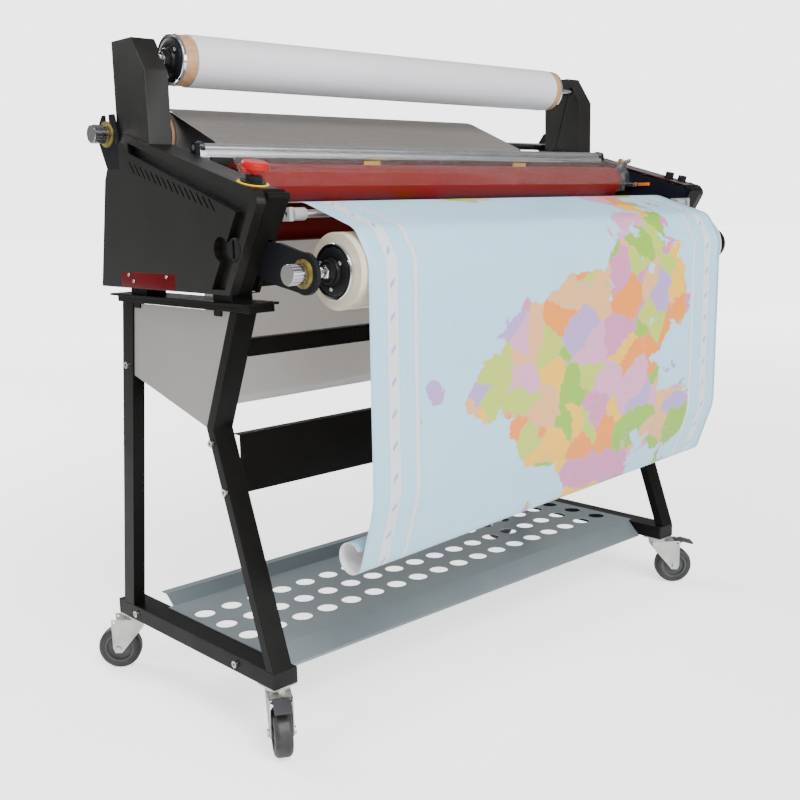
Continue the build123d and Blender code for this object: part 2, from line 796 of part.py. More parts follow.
# Box-section towers that carry the top shaft
tower_slot_r = 8.0
with BuildPart() as towers:
    tower_high = base_z + tower_top
    shape = [
        (tower_front_y, base_z + 155),
        (tower_back_y, base_z + 155),
        (tower_back_y, tower_high),
        (tower_front_y + 38, tower_high),
        (tower_front_y, tower_high - 59),
    ]
    slab(-tower_outer, -plate_outer, shape)
    step_front = tower_front_y - 1
    step_back = step_end_y + tower_gap
    step = [(step_front, deck_line(step_front)), (step_back, deck_line(step_back))]
    step += [(step_back, base_z), (step_front, base_z)]
    slab(-tower_outer, -tower_outer + tower_step, step, Mode.SUBTRACT)
    shape_in = [
        (tower_front_y + casing_wall, base_z + 150),
        (tower_back_y - casing_wall, base_z + 150),
        (tower_back_y - casing_wall, tower_high - casing_wall),
        (tower_front_y + 38 + casing_wall, tower_high - casing_wall),
        (tower_front_y + casing_wall, tower_high - 59 - casing_wall / 2),
    ]
    hollow_end = -tower_outer + tower_step + casing_wall
    slab(hollow_end, -plate_outer - casing_wall, shape_in, Mode.SUBTRACT)
    top_y, top_z = place(top_axis)
    rod(-plate_outer - casing_wall - 1, -plate_outer, top_y, top_z, tower_slot_r + fit, Mode.SUBTRACT)
    slot_reach = 60.0
    slot_lean = radians(148.0)
    across = (tower_slot_r + fit) * sin(slot_lean)
    rise = (tower_slot_r + fit) * cos(slot_lean)
    slab(
        -plate_outer - casing_wall - 1,
        -plate_outer,
        [
            (top_y + across, top_z - rise),
            (top_y - across, top_z + rise),
            (top_y - across + slot_reach * cos(slot_lean), top_z + rise + slot_reach * sin(slot_lean)),
            (top_y + across + slot_reach * cos(slot_lean), top_z - rise + slot_reach * sin(slot_lean)),
        ],
        Mode.SUBTRACT,
    )
    mirror(about=Plane.YZ)
save(towers, "towers")

tie_t = 2.0
tie_front = y0 + 70.0
tie_back = y0 + 210.0
tie_z = base_z + 8.0
tie_h = 20.0
with BuildPart() as base_tie:
    block((-plate_inner, tie_front, tie_z), (plate_inner, tie_back, tie_z + tie_h))
    block(
        (-plate_inner, tie_front + tie_t, tie_z + tie_t),
        (plate_inner, tie_back - tie_t, tie_z + tie_h),
        Mode.SUBTRACT,
    )
save(base_tie, "base_tie")

# ---------------------------------------------------------------- nip rollers
drive_end = 606.0
with BuildPart() as lower_roller_core:
    rod(-roller_half, roller_half, roller_y, lower_z, roller_r - sleeve_t)
    rod(-drive_end, -roller_half, roller_y, lower_z, journal_r)
    rod(roller_half, plate_outer + 4, roller_y, lower_z, journal_r)
save(lower_roller_core, "lower_roller_core")

with BuildPart() as upper_roller_core:
    rod(-roller_half, roller_half, roller_y, upper_z, roller_r - sleeve_t)
    rod(-plate_outer - 4, -roller_half, roller_y, upper_z, journal_r)
    rod(roller_half, plate_outer + 4, roller_y, upper_z, journal_r)
save(upper_roller_core, "upper_roller_core")


def roller_sleeve(z):
    """Silicone cover of a nip roller."""
    with BuildPart() as sleeve:
        rod(-roller_half, roller_half, roller_y, z, roller_r)
        rod(-roller_half, roller_half, roller_y, z, roller_r - sleeve_t, Mode.SUBTRACT)
    return sleeve


save(roller_sleeve(lower_z), "lower_roller_sleeve")
save(roller_sleeve(upper_z), "upper_roller_sleeve")

with BuildPart() as lower_bearings:
    rod(-plate_outer, -plate_inner, roller_y, lower_z, lower_bearing_r)
    rod(-plate_inner, -plate_inner + bearing_flange, roller_y, lower_z, lower_bearing_r + 4)
    rod(-plate_outer, -plate_inner + bearing_flange, roller_y, lower_z, journal_r + fit, Mode.SUBTRACT)
    mirror(about=Plane.YZ)
save(lower_bearings, "lower_bearings")

with BuildPart() as lift_blocks:
    flange_gap = 0.3
    flange_end = -plate_inner + 8
    # Outer and inner end of each step, and how far it is drawn in along Y and Z
    steps = (
        (-plate_outer, -plate_inner, 0, 0),
        (-plate_inner, -plate_inner + 2 * flange_gap, 6, 4),
        (-plate_inner + flange_gap, flange_end, 4, 2),
    )
    for x_low, x_high, in_y, in_z in steps:
        reach_y = block_size / 2 - in_y
        reach_z = block_size / 2 - in_z
        step_low = (x_low, roller_y - reach_y, upper_z - reach_z)
        block(step_low, (x_high, roller_y + reach_y, upper_z + reach_z))
    rod(-plate_outer, flange_end, roller_y, upper_z, journal_r + fit, Mode.SUBTRACT)
    mirror(about=Plane.YZ)
save(lift_blocks, "lift_blocks")

with BuildPart() as pressure_knob:
    knob_y, knob_z = place(lift_knob_axis)
    rod(-cabinet_outer + 1, -cabinet_outer + channel_depth - 0.5, knob_y, knob_z, lift_knob_r)
    chamfer(pressure_knob.edges().filter_by(GeomType.CIRCLE).group_by(Axis.X)[0], 2)
    with BuildSketch(shaft_plane(-cabinet_outer + 1, knob_y, knob_z)):
        SlotOverall(2 * lift_knob_r - 8, 7, rotation=90)
    extrude(amount=4, mode=Mode.SUBTRACT)
    rod(-cabinet_outer + channel_depth - 0.5, -584, knob_y, knob_z, 5)
save(pressure_knob, "pressure_knob")

with BuildPart() as gearmotor:
    block((-606, roller_y - 30, lower_z - 32), (-plate_outer, roller_y + 34, lower_z + 30))
    rod(-607, -plate_outer, roller_y, lower_z, journal_r + 0.5, Mode.SUBTRACT)
    with BuildSketch(Plane(origin=(-590, roller_y + 34, lower_z - 8), x_dir=(1, 0, 0), z_dir=(0, 1, 0))):
        Circle(15)
    extrude(amount=96)
save(gearmotor, "gearmotor")

# ---------------------------------------------------------------- shield, idler and brackets
with BuildPart() as shield_beam:
    beam_y, beam_z = place(beam_axis)
    beam_end = plate_inner - 1.0
    rod(-beam_end, beam_end, beam_y, beam_z, beam_r)
    rod(-plate_outer, plate_outer, beam_y, beam_z, beam_pin_r)
    block((-beam_end, beam_y - beam_r, beam_z - 16), (beam_end, beam_y - beam_r / 2, beam_z - 4))
save(shield_beam, "shield_beam")

shield_t = 3.0
shield_half = 548.0
with BuildPart() as clear_shield:
    face_y = beam_y - beam_r
    shield_path = [
        (face_y - shield_t / 2, beam_z - 2),
        (face_y - shield_t / 2, beam_z - 13),
        (beam_y - 78, beam_z - 17),
        (beam_y - 98, beam_z - 42),
        (beam_y - 102, beam_z - 66),
    ]
    with BuildSketch(side_plane(-shield_half)):
        with BuildLine():
            FilletPolyline(*shield_path, radius=6)
            offset(amount=shield_t / 2, side=Side.BOTH)
        make_face()
    extrude(amount=2 * shield_half)
save(clear_shield, "clear_shield")

idler_y, idler_z = place(idler_axis)
idler_half = plate_inner - 10.0
with BuildPart() as front_idler_bar:
    rod(-idler_half, idler_half, idler_y, idler_z, idler_r)
    rod(-plate_inner + 2, plate_inner - 2, idler_y, idler_z, 4)
save(front_idler_bar, "front_idler_bar")

with BuildPart() as idler_brackets:
    block((-plate_inner, idler_y - 11, idler_z - 11), (-idler_half - 2, idler_y + 34, idler_z + 11))
    rod(-plate_inner, -idler_half - 2, idler_y, idler_z, 4 + fit, Mode.SUBTRACT)
    mirror(about=Plane.YZ)
save(idler_brackets, "idler_brackets")

arm_end_r = 33.0
with BuildPart() as film_arms:
    front_y, front_z = place(front_axis)
    with BuildSketch(side_plane(-plate_outer - arm_t)):
        with Locations((front_y, front_z)):
            Circle(arm_end_r)
        with BuildLine():
            Polyline(
                (front_y + 4, front_z + 32.7),
                (front_y - 4, front_z - 32.7),
                (front_y + 96, front_z - 16),
                (front_y + 150, front_z + 10),
                (front_y + 150, front_z + 50),
                (front_y + 60, front_z + 46),
                close=True,
            )
        make_face()
        with Locations((front_y, front_z)):
            Circle(mandrel_r + fit, mode=Mode.SUBTRACT)
    extrude(amount=arm_t)
    mirror(about=Plane.YZ)
save(film_arms, "film_arms")

with BuildPart() as rear_forks:
    rear_y, rear_z = place(rear_axis)
    with BuildSketch(side_plane(-cabinet_outer)):
        with BuildLine():
            Polyline(*fork_outline(), close=True)
        make_face()
        with Locations((rear_y, rear_z)):
            Circle(mandrel_r + fit, mode=Mode.SUBTRACT)
        with Locations((rear_y, rear_z + 20)):
            Rectangle(2 * (mandrel_r + fit), 40, mode=Mode.SUBTRACT)
    extrude(amount=fork_plate_t)
    mirror(about=Plane.YZ)
save(rear_forks, "rear_forks")

# ---------------------------------------------------------------- film shafts and rolls
collar_t = 14.0


def chuck(x_face, y, z, toward):
    """Core chuck: a flange and a stepped cone that enters the core by its bore."""
    steps = ((core_r + 1.0, 5.0), (core_bore_r - 0.3, 16.0), (core_bore_r - 8.0, 8.0))
    x = x_face - toward * steps[0][1]
    for radius, length in steps:
        low, high = sorted((x, x + toward * length))
        rod(low, high, y, z, radius)
        x += toward * length


def film_shaft(y, z, left_end, right_end, end_r, core_ends, collar):
    """Steel mandrel with a chuck in each end of the core."""
    with BuildPart() as shaft:
        rod(left_end, right_end, y, z, end_r)
        chuck(core_ends[0], y, z, 1)
        chuck(core_ends[1], y, z, -1)
        if collar:
            rod(right_end - collar_t, right_end, y, z, end_r + 9)
    return shaft


def film_roll(y, z, core_ends, film_ends, radius):
    """Cardboard core and the film wound on it."""
    with BuildPart() as core:
        rod(core_ends[0], core_ends[1], y, z, core_r)
        rod(core_ends[0], core_ends[1], y, z, core_bore_r, Mode.SUBTRACT)
    with BuildPart() as film:
        rod(film_ends[0], film_ends[1], y, z, radius)
        rod(film_ends[0], film_ends[1], y, z, core_r, Mode.SUBTRACT)
    return core, film


front_y, front_z = place(front_axis)
top_y, top_z = place(top_axis)
rear_y, rear_z = place(rear_axis)
knob_length = 27.0
washer_t = 3.0
knob_cover = 2.0  # closed end of a tension knob
front_knob_face = 612.0
rear_film_left = -roll_half + 6
full_core = (-roll_half, roll_half)
rear_core = (-roll_half, rear_film_right + 10)

front_end = -front_knob_face + knob_cover
front_shaft = film_shaft(front_y, front_z, front_end, plate_outer + 30, mandrel_r, full_core, True)
save(front_shaft, "front_shaft")
save_set("front_roll", *film_roll(front_y, front_z, full_core, full_core, front_roll_r))
top_end = plate_outer + 10
save(film_shaft(top_y, top_z, -top_end, top_end, tower_slot_r, top_core, False), "top_shaft")
save_set("top_roll", *film_roll(top_y, top_z, top_core, top_film, top_roll_r))
rear_end = -end_reach + knob_cover
save(film_shaft(rear_y, rear_z, rear_end, end_reach, mandrel_r, rear_core, True), "rear_shaft")
save_set("rear_roll", *film_roll(rear_y, rear_z, rear_core, (rear_film_left, rear_film_right), rear_roll_r))


def tension_knob(x_face, y, z):
    """Fluted brake knob that turns on the end of a mandrel."""
    with BuildPart() as knob:
        rod(x_face, x_face + knob_length, y, z, knob_r)
        chamfer(knob.edges().filter_by(GeomType.CIRCLE), 1)
        with BuildSketch(shaft_plane(x_face, y, z)):
            with PolarLocations(knob_r + 0.4, 20):
                Circle(1.3)
        extrude(amount=knob_length, mode=Mode.SUBTRACT)
        rod(x_face + knob_cover - fit, x_face + knob_length, y, z, mandrel_r + fit, Mode.SUBTRACT)
    return knob


save(tension_knob(-front_knob_face, front_y, front_z), "front_tension_knob")
save(tension_knob(-end_reach, rear_y, rear_z), "rear_tension_knob")

with BuildPart() as brake_washers:
    for seat_x, axis in ((-plate_outer - arm_t, front_axis), (-cabinet_outer, rear_axis)):
        washer_y, washer_z = place(axis)
        rod(seat_x - washer_t, seat_x, washer_y, washer_z, washer_r)
        rod(seat_x - washer_t, seat_x, washer_y, washer_z, mandrel_r + fit, Mode.SUBTRACT)
save(brake_washers, "brake_washers")

# Film from the rear roll down towards the upper nip roller
web_lean = 23.5
web_gap = 0.3
web_turn_y = 231.0
web_end = (190.0, 203.0)
web_bend = 8.0
with BuildPart() as rear_web:
    lean = radians(web_lean)
    web_r = rear_roll_r + web_gap + sheet_t / 2
    start = (rear_y - web_r * sin(lean), rear_z + web_r * cos(lean))
    turn_y = y0 + web_turn_y
    turn = (turn_y, start[1] - (start[0] - turn_y) * tan(lean))
    with BuildSketch(side_plane(rear_film_left)):
        with BuildLine():
            FilletPolyline(start, turn, place(web_end), radius=web_bend)
            offset(amount=sheet_t / 2, side=Side.BOTH)
        make_face()
    extrude(amount=rear_film_right - rear_film_left)
save(rear_web, "rear_web")

# ---------------------------------------------------------------- controls
estop_travel = 4.0
estop_flange = (21.0, 4.0)  # radius and height of each step
estop_neck = (14.0, 9.0)
estop_skirt = (14.5, 7.0)
estop_cap = (22.0, 10.0)
estop_base_h = estop_flange[1] + estop_neck[1]
estop_deck = deck_plane(estop_x, estop_y)


def stop_step(height, step, mode=Mode.ADD):
    """Adds a round step of the emergency stop, standing at a height above the deck."""
    with BuildSketch(estop_deck.offset(height)) as disc:
        Circle(step[0])
    extrude(disc.sketch, amount=step[1], mode=mode)


with BuildPart() as estop_base:
    stop_step(0, estop_flange)
    stop_step(estop_flange[1], estop_neck)
    stop_step(0, (estop_stem_r + fit, estop_base_h), Mode.SUBTRACT)
save(estop_base, "estop_base")

with BuildPart() as estop_head:
    head_low = estop_base_h + estop_travel
    stop_step(1, (estop_stem_r, head_low))
    stop_step(head_low + 0.3, estop_skirt)
    stop_step(head_low + estop_skirt[1], estop_cap)
    fillet(estop_head.edges().group_by(Axis.Z)[-1], 4)
save(estop_head, "estop_head")


dial_r = 9.5
dial_h = 11.0
dial_gap = 0.3
skirt_t = 2.5
skirt_w = 1.5
flute_count = 12
flute_r = 1.2


def dial(y):
    """Black rotary knob with a skirt and flutes, on the right-hand deck."""
    deck = deck_plane(dial_x, y)
    with BuildPart() as knob:
        with BuildSketch(deck.offset(dial_gap)):
            Circle(dial_r + skirt_w)
        extrude(amount=skirt_t)
        with BuildSketch(deck.offset(dial_gap + skirt_t)):
            Circle(dial_r)
        extrude(amount=dial_h)
        with BuildSketch(deck.offset(dial_gap + skirt_t)):
            with PolarLocations(dial_r + 0.5, flute_count):
                Circle(flute_r)
        extrude(amount=dial_h, mode=Mode.SUBTRACT)
        with BuildSketch(deck.offset(1)):
            Circle(dial_pin_r)
        extrude(amount=-7)
    return knob


save(dial(dial_places[0]), "speed_knob")
save(dial(dial_places[1]), "direction_knob")

with BuildPart() as run_button:
    with BuildSketch(deck_plane(*button_place).offset(button_stand)):
        Circle(button_r)
    extrude(amount=-button_length)
save(run_button, "run_button")

# ---------------------------------------------------------------- the print passing through
# Route from the tail, through the nip and over the idler, to where the hanging end starts to curl
sheet_route = (
    (300.0, -230.0),
    (300.0, nip_h),
    (-5.0, nip_h),
    (-132.0, 103.0),
    (-162.0, 52.0),
    (-158.0, -335.0),
    (-122.0, -446.0),
)
sheet_bends = (75.0, 60.0, 38.0, 38.0, 150.0)
with BuildPart() as print_sheet:
    with BuildSketch(side_plane(-sheet_half)):
        with BuildLine():
            route = FilletPolyline(*[place(point) for point in sheet_route], radius=sheet_bends)
            end_point = route @ 1
            end_way = route % 1
            for curl_r, sweep in curls:
                curl = JernArc(end_point, end_way, curl_r, sweep)
                end_point = curl @ 1
                end_way = curl % 1
            offset(amount=sheet_t / 2, side=Side.BOTH)
        make_face()
    extrude(amount=2 * sheet_half)
save(print_sheet, "print_sheet")
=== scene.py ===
"""Looks of a wide cold roll laminator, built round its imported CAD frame."""

import json
import math

import bmesh
import bpy
from mathutils import Matrix, Vector, noise


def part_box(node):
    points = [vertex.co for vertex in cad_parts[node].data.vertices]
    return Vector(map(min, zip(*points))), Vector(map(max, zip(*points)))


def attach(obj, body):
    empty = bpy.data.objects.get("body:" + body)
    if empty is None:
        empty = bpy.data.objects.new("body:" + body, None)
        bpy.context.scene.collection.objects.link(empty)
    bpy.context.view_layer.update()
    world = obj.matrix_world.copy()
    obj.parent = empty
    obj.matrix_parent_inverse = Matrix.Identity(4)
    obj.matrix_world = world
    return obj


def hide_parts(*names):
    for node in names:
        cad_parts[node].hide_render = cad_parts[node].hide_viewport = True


bl_info = {
    "name": "Cold roll laminator",
    "version": (1, 0, 0),
    "blender": (4, 5, 0),
    "location": "View3D > Sidebar > Laminator",
    "description": "Builds the print, film, trim and finishes of a cold roll laminator",
    "category": "Object",
}

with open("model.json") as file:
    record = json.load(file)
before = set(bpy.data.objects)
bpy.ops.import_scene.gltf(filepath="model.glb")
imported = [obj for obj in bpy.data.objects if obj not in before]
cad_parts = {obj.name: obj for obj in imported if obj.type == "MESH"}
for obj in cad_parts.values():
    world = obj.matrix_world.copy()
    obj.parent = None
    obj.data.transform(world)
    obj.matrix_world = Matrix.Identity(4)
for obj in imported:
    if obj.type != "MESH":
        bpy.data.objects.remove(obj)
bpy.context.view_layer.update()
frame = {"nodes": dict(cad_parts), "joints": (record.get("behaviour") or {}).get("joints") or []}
NODES = frame["nodes"]

MM = 0.001
RIGHT = (1, 0, 0)
FORWARD = (0, -1, 0)
UP = (0, 0, 1)
NIP_SETBACK = 0.150  # from the front of the stand to the nip
NIP_RISE = 0.145  # from the cabinets' base to the nip
CORNERS = ("front_left", "front_right", "rear_left", "rear_right")


# ---------------------------------------------------------------- places read from the frame
def middle(node):
    """Centre of a CAD node's box."""
    low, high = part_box(node)
    return (Vector(low) + Vector(high)) / 2


def joint_named(name):
    """A joint of the frame by its name."""
    for joint in frame["joints"]:
        if joint["name"] == name:
            return joint
    raise RuntimeError("the frame has no joint " + name)


def axis_place(name):
    """Depth and height of a joint that turns along the machine."""
    place = joint_named(name)["pos_m"]
    return place[1], place[2]


def nip_place():
    """Depth and height of the line where the two rollers meet."""
    depth, lower = axis_place("lower_roller_spin")
    return depth, (lower + axis_place("upper_roller_spin")[1]) / 2


def ramp(value, low, high):
    """Share of the way from low to high, held between 0 and 1."""
    return max(0.0, min(1.0, (value - low) / (high - low)))


# ---------------------------------------------------------------- mesh helpers
def add_object(name, mesh, material, body):
    """Links a mesh, gives it its material, and lets it ride."""
    piece = bpy.data.objects.new(name, mesh)
    bpy.context.scene.collection.objects.link(piece)
    if material is not None:
        mesh.materials.append(material)
    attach(piece, body)
    return piece


def mesh_from(name, shape, smooth=True):
    """Turns a bmesh into a mesh with outward normals."""
    bmesh.ops.recalc_face_normals(shape, faces=shape.faces)
    mesh = bpy.data.meshes.new(name)
    shape.to_mesh(mesh)
    shape.free()
    if smooth:
        mesh.shade_smooth()
        mesh.set_sharp_from_angle(angle=math.radians(35))
    return mesh


def turned(name, centre, profile, material, body, steps=64, along=Vector((1, 0, 0))):
    """A lathe piece: profile is a closed ring of (distance along the axis, radius) in millimetres."""
    along = Vector(along).normalized()
    side = along.orthogonal().normalized()
    up = along.cross(side)
    shape = bmesh.new()
    rings = []
    for i in range(steps):
        angle = math.tau * i / steps
        out = side * math.cos(angle) + up * math.sin(angle)
        rings.append([shape.verts.new(Vector(centre) + along * (a * MM) + out * (r * MM)) for a, r in profile])
    count = len(profile)
    for i in range(steps):
        here, there = rings[i], rings[(i + 1) % steps]
        for j in range(count):
            k = (j + 1) % count
            shape.faces.new((here[j], here[k], there[k], there[j]))
    bmesh.ops.remove_doubles(shape, verts=shape.verts, dist=1e-7)
    return add_object(name, mesh_from(name, shape), material, body)


def rounded_plate(name, corners, thickness, origin, across, up, material, body, radius=3.0, bevel=0.4):
    """A plate cut to a list of corners, in millimetres on the plane of across and up, with its corners rounded."""
    across, up = Vector(across).normalized(), Vector(up).normalized()
    normal = across.cross(up)
    outline = []
    count = len(corners)
    for i in range(count):
        before = Vector(corners[i - 1])
        here = Vector(corners[i])
        after = Vector(corners[(i + 1) % count])
        back = (before - here).normalized()
        ahead = (after - here).normalized()
        half = back.angle(ahead) / 2
        cut = min(radius / math.tan(half), (before - here).length / 2.1, (after - here).length / 2.1)
        arc = cut * math.tan(half)
        hub = here + (back + ahead).normalized() * (arc / math.sin(half))
        start, end = here + back * cut - hub, here + ahead * cut - hub
        turn = start.angle_signed(end)
        for step in range(5):
            outline.append(hub + Matrix.Rotation(-turn * step / 4, 2) @ start)
    shape = bmesh.new()
    low = [shape.verts.new(Vector(origin) + (across * p.x + up * p.y) * MM) for p in outline]
    high = [shape.verts.new(v.co + normal * (thickness * MM)) for v in low]
    shape.faces.new(low)
    shape.faces.new(list(reversed(high)))
    for i in range(len(low)):
        j = (i + 1) % len(low)
        shape.faces.new((low[i], high[i], high[j], low[j]))
    if bevel:
        rims = [e for e in shape.edges if abs((e.verts[0].co - e.verts[1].co).normalized().dot(normal)) < 0.5]
        bmesh.ops.bevel(shape, geom=rims, offset=bevel * MM, segments=2, affect="EDGES", profile=0.5)
    return add_object(name, mesh_from(name, shape), material, body)


def oblong(left, right, bottom, top):
    """Corners of a rectangle, in the order that rounded_plate needs."""
    return [(left, bottom), (right, bottom), (right, top), (left, top)]


def wire_coil(name, centre, radius, wire, pitch, turns, material, body):
    """A coil spring wound along the machine."""
    points = []
    for i in range(turns * 16 + 1):
        angle = math.tau * i / 16
        points.append(
            Vector(centre)
            + Vector((pitch * i / 16, radius * math.cos(angle), radius * math.sin(angle))) * MM
        )
    curve = bpy.data.curves.new(name, "CURVE")
    curve.dimensions = "3D"
    curve.bevel_depth = wire * MM
    curve.bevel_resolution = 3
    curve.use_fill_caps = True
    spline = curve.splines.new("POLY")
    spline.points.add(len(points) - 1)
    for point, place in zip(spline.points, points):
        point.co = (*place, 1)
    return add_object(name, curve, material, body)


def swept_band(name, profile, width, material, body, wave=None):
    """A sheet that follows a profile of (y, z) points across the machine; wave moves a point of it."""
    columns = 84
    shape = bmesh.new()
    uv = shape.loops.layers.uv.new("UVMap")
    runs = [0.0]
    for a, b in zip(profile, profile[1:]):
        runs.append(runs[-1] + math.dist(a, b))
    grid = []
    for (y, z), run in zip(profile, runs):
        row = []
        for i in range(columns + 1):
            x = width[0] + (width[1] - width[0]) * i / columns
            place = Vector((x, y, z))
            if wave:
                place += wave(x, run)
            row.append((shape.verts.new(place), (x, run)))
        grid.append(row)
    for lower, upper in zip(grid, grid[1:]):
        for i in range(columns):
            quad = (lower[i], lower[i + 1], upper[i + 1], upper[i])
            face = shape.faces.new([corner[0] for corner in quad])
            for loop, corner in zip(face.loops, quad):
                loop[uv].uv = corner[1]
    mesh = bpy.data.meshes.new(name)
    shape.to_mesh(mesh)
    shape.free()
    mesh.shade_smooth()
    return add_object(name, mesh, material, body), runs[-1]


def rounded_path(points, radii, step=0.006):
    """Points along straight runs joined by tangent arcs, in metres."""
    path = [Vector(points[0])]
    for i in range(1, len(points) - 1):
        here = Vector(points[i])
        back = (Vector(points[i - 1]) - here).normalized()
        ahead = (Vector(points[i + 1]) - here).normalized()
        half = back.angle(ahead) / 2
        cut = radii[i - 1] / math.tan(half)
        hub = here + (back + ahead).normalized() * (radii[i - 1] / math.sin(half))
        start, end = here + back * cut - hub, here + ahead * cut - hub
        turn = start.angle_signed(end)
        count = max(3, int(abs(turn) * radii[i - 1] / step))
        for k in range(count + 1):
            path.append(hub + Matrix.Rotation(-turn * k / count, 2) @ start)
    path.append(Vector(points[-1]))
    dense = [path[0]]
    for place in path[1:]:
        gap = (place - dense[-1]).length
        count = max(1, int(gap / 0.02))
        start = dense[-1].copy()
        for k in range(1, count + 1):
            dense.append(start.lerp(place, k / count))
    return dense


# ---------------------------------------------------------------- materials
class Finish:
    """Small helper that lays out one procedural material."""

    def __init__(self, name, colour, roughness, metallic=0.0, **sockets):
        self.material = bpy.data.materials.new(name)
        self.material.use_nodes = True
        self.tree = self.material.node_tree
        self.shader = self.tree.nodes["Principled BSDF"]
        self.shader.inputs["Metallic"].default_value = metallic
        for socket, value in sockets.items():
            self.shader.inputs[socket.replace("_", " ")].default_value = value
        self.place = self.node("ShaderNodeTexCoord").outputs["Object"]
        self.colour = self.rgb(colour)
        self.shader.inputs["Base Color"].default_value = (*colour, 1)
        self.shader.inputs["Roughness"].default_value = roughness
        self.roughness = roughness
        self.bumped = None

    def node(self, kind, **settings):
        made = self.tree.nodes.new(kind)
        for key, value in settings.items():
            setattr(made, key, value)
        return made

    def link(self, source, target):
        self.tree.links.new(source, target)

    def rgb(self, colour):
        made = self.node("ShaderNodeRGB")
        made.outputs[0].default_value = (*colour, 1)
        return made.outputs[0]

    def math(self, operation, a, b=None):
        made = self.node("ShaderNodeMath", operation=operation)
        for socket, value in zip(made.inputs, (a, b)):
            if isinstance(value, (int, float)):
                socket.default_value = value
            elif value is not None:
                self.link(value, socket)
        return made.outputs[0]

    def vector(self, operation, a, b=None):
        made = self.node("ShaderNodeVectorMath", operation=operation)
        for socket, value in zip(made.inputs, (a, b)):
            if isinstance(value, (tuple, Vector)):
                socket.default_value = value
            elif value is not None:
                self.link(value, socket)
        return made.outputs["Value"] if operation in ("LENGTH", "DOT_PRODUCT") else made.outputs["Vector"]

    def noise(self, scale, detail=4.0, rough=0.55, stretch=None, place=None):
        source = place or self.place
        if stretch:
            mapping = self.node("ShaderNodeMapping")
            mapping.inputs["Scale"].default_value = stretch
            self.link(source, mapping.inputs["Vector"])
            source = mapping.outputs[0]
        made = self.node("ShaderNodeTexNoise")
        made.inputs["Scale"].default_value = scale
        made.inputs["Detail"].default_value = detail
        made.inputs["Roughness"].default_value = rough
        self.link(source, made.inputs["Vector"])
        return made.outputs[0]

    def span(self, source, low, high, to_low=0.0, to_high=1.0):
        made = self.node("ShaderNodeMapRange")
        for socket, value in zip(("From Min", "From Max", "To Min", "To Max"), (low, high, to_low, to_high)):
            made.inputs[socket].default_value = value
        self.link(source, made.inputs["Value"])
        return made.outputs[0]

    def mix(self, factor, a, b, blend="MIX"):
        made = self.node("ShaderNodeMix", data_type="RGBA", blend_type=blend)
        for socket, value in ((made.inputs["Factor"], factor), (made.inputs["A"], a), (made.inputs["B"], b)):
            colour_socket = [s for s in made.inputs if s.name == socket.name and s.type == "RGBA"]
            target = colour_socket[0] if colour_socket and socket.name != "Factor" else made.inputs[0]
            if isinstance(value, (int, float)):
                target.default_value = value
            elif isinstance(value, bpy.types.NodeSocket):
                self.link(value, target)
            else:
                target.default_value = (*value, 1)
        return [s for s in made.outputs if s.type == "RGBA"][0]

    def mottle(self, scale, amount):
        """Slow change of tone over the surface."""
        tone = self.span(self.noise(scale), 0.3, 0.7, 1 - amount, 1 + amount)
        grey = self.node("ShaderNodeCombineColor")
        for socket in grey.inputs[:3]:
            self.link(tone, socket)
        self.colour = self.mix(1.0, self.colour, grey.outputs[0], "MULTIPLY")
        return self

    def polish(self, scale, amount, stretch=None):
        """Change of gloss over the surface."""
        dull, bright = self.roughness + amount, self.roughness - amount
        gloss = self.span(self.noise(scale, stretch=stretch), 0.3, 0.7, bright, dull)
        self.link(gloss, self.shader.inputs["Roughness"])
        return self

    def bump(self, height, strength, distance):
        """Adds relief on top of what is there."""
        made = self.node("ShaderNodeBump")
        made.inputs["Strength"].default_value = strength
        made.inputs["Distance"].default_value = distance
        self.link(height, made.inputs["Height"])
        if self.bumped is not None:
            self.link(self.bumped, made.inputs["Normal"])
        self.bumped = made.outputs[0]
        return self

    def grain(self, scale, strength, distance=0.0004, stretch=None):
        """Fine relief, such as orange peel or brushing."""
        return self.bump(self.noise(scale, 3.0, 0.6, stretch), strength, distance)

    def done(self):
        """Joins the colour and the relief to the shader."""
        self.link(self.colour, self.shader.inputs["Base Color"])
        if self.bumped is not None:
            self.link(self.bumped, self.shader.inputs["Normal"])
        return self.material


def from_axis(finish, point, along):
    """Distance of the surface from a line, in metres."""
    arm = finish.vector("SUBTRACT", finish.place, tuple(point))
    return finish.vector("LENGTH", finish.vector("CROSS_PRODUCT", arm, tuple(Vector(along).normalized())))


def powder_coat(name, colour, roughness=0.38):
    """Stove-dried powder coat with a fine orange peel."""
    finish = Finish(name, colour, roughness, Specular_IOR_Level=0.10)
    return finish.mottle(5.0, 0.12).polish(14.0, 0.07).grain(900.0, 0.22, 0.0002).done()


def moulded(name, colour, roughness=0.42, grain=1400.0, strength=0.25):
    """Moulded or spray-grained plastic."""
    finish = Finish(name, colour, roughness, Specular_IOR_Level=0.11)
    return finish.mottle(7.0, 0.10).polish(20.0, 0.06).grain(grain, strength, 0.0002).done()


def bare_metal(name, colour, roughness, along=None, strength=0.12):
    """Bare metal, brushed along one direction when one is given."""
    finish = Finish(name, colour, roughness, 1.0)
    stretch = along or (1.0, 1.0, 1.0)
    return finish.mottle(9.0, 0.08).polish(30.0, 0.06, stretch).grain(260.0, strength, 0.0002, stretch).done()


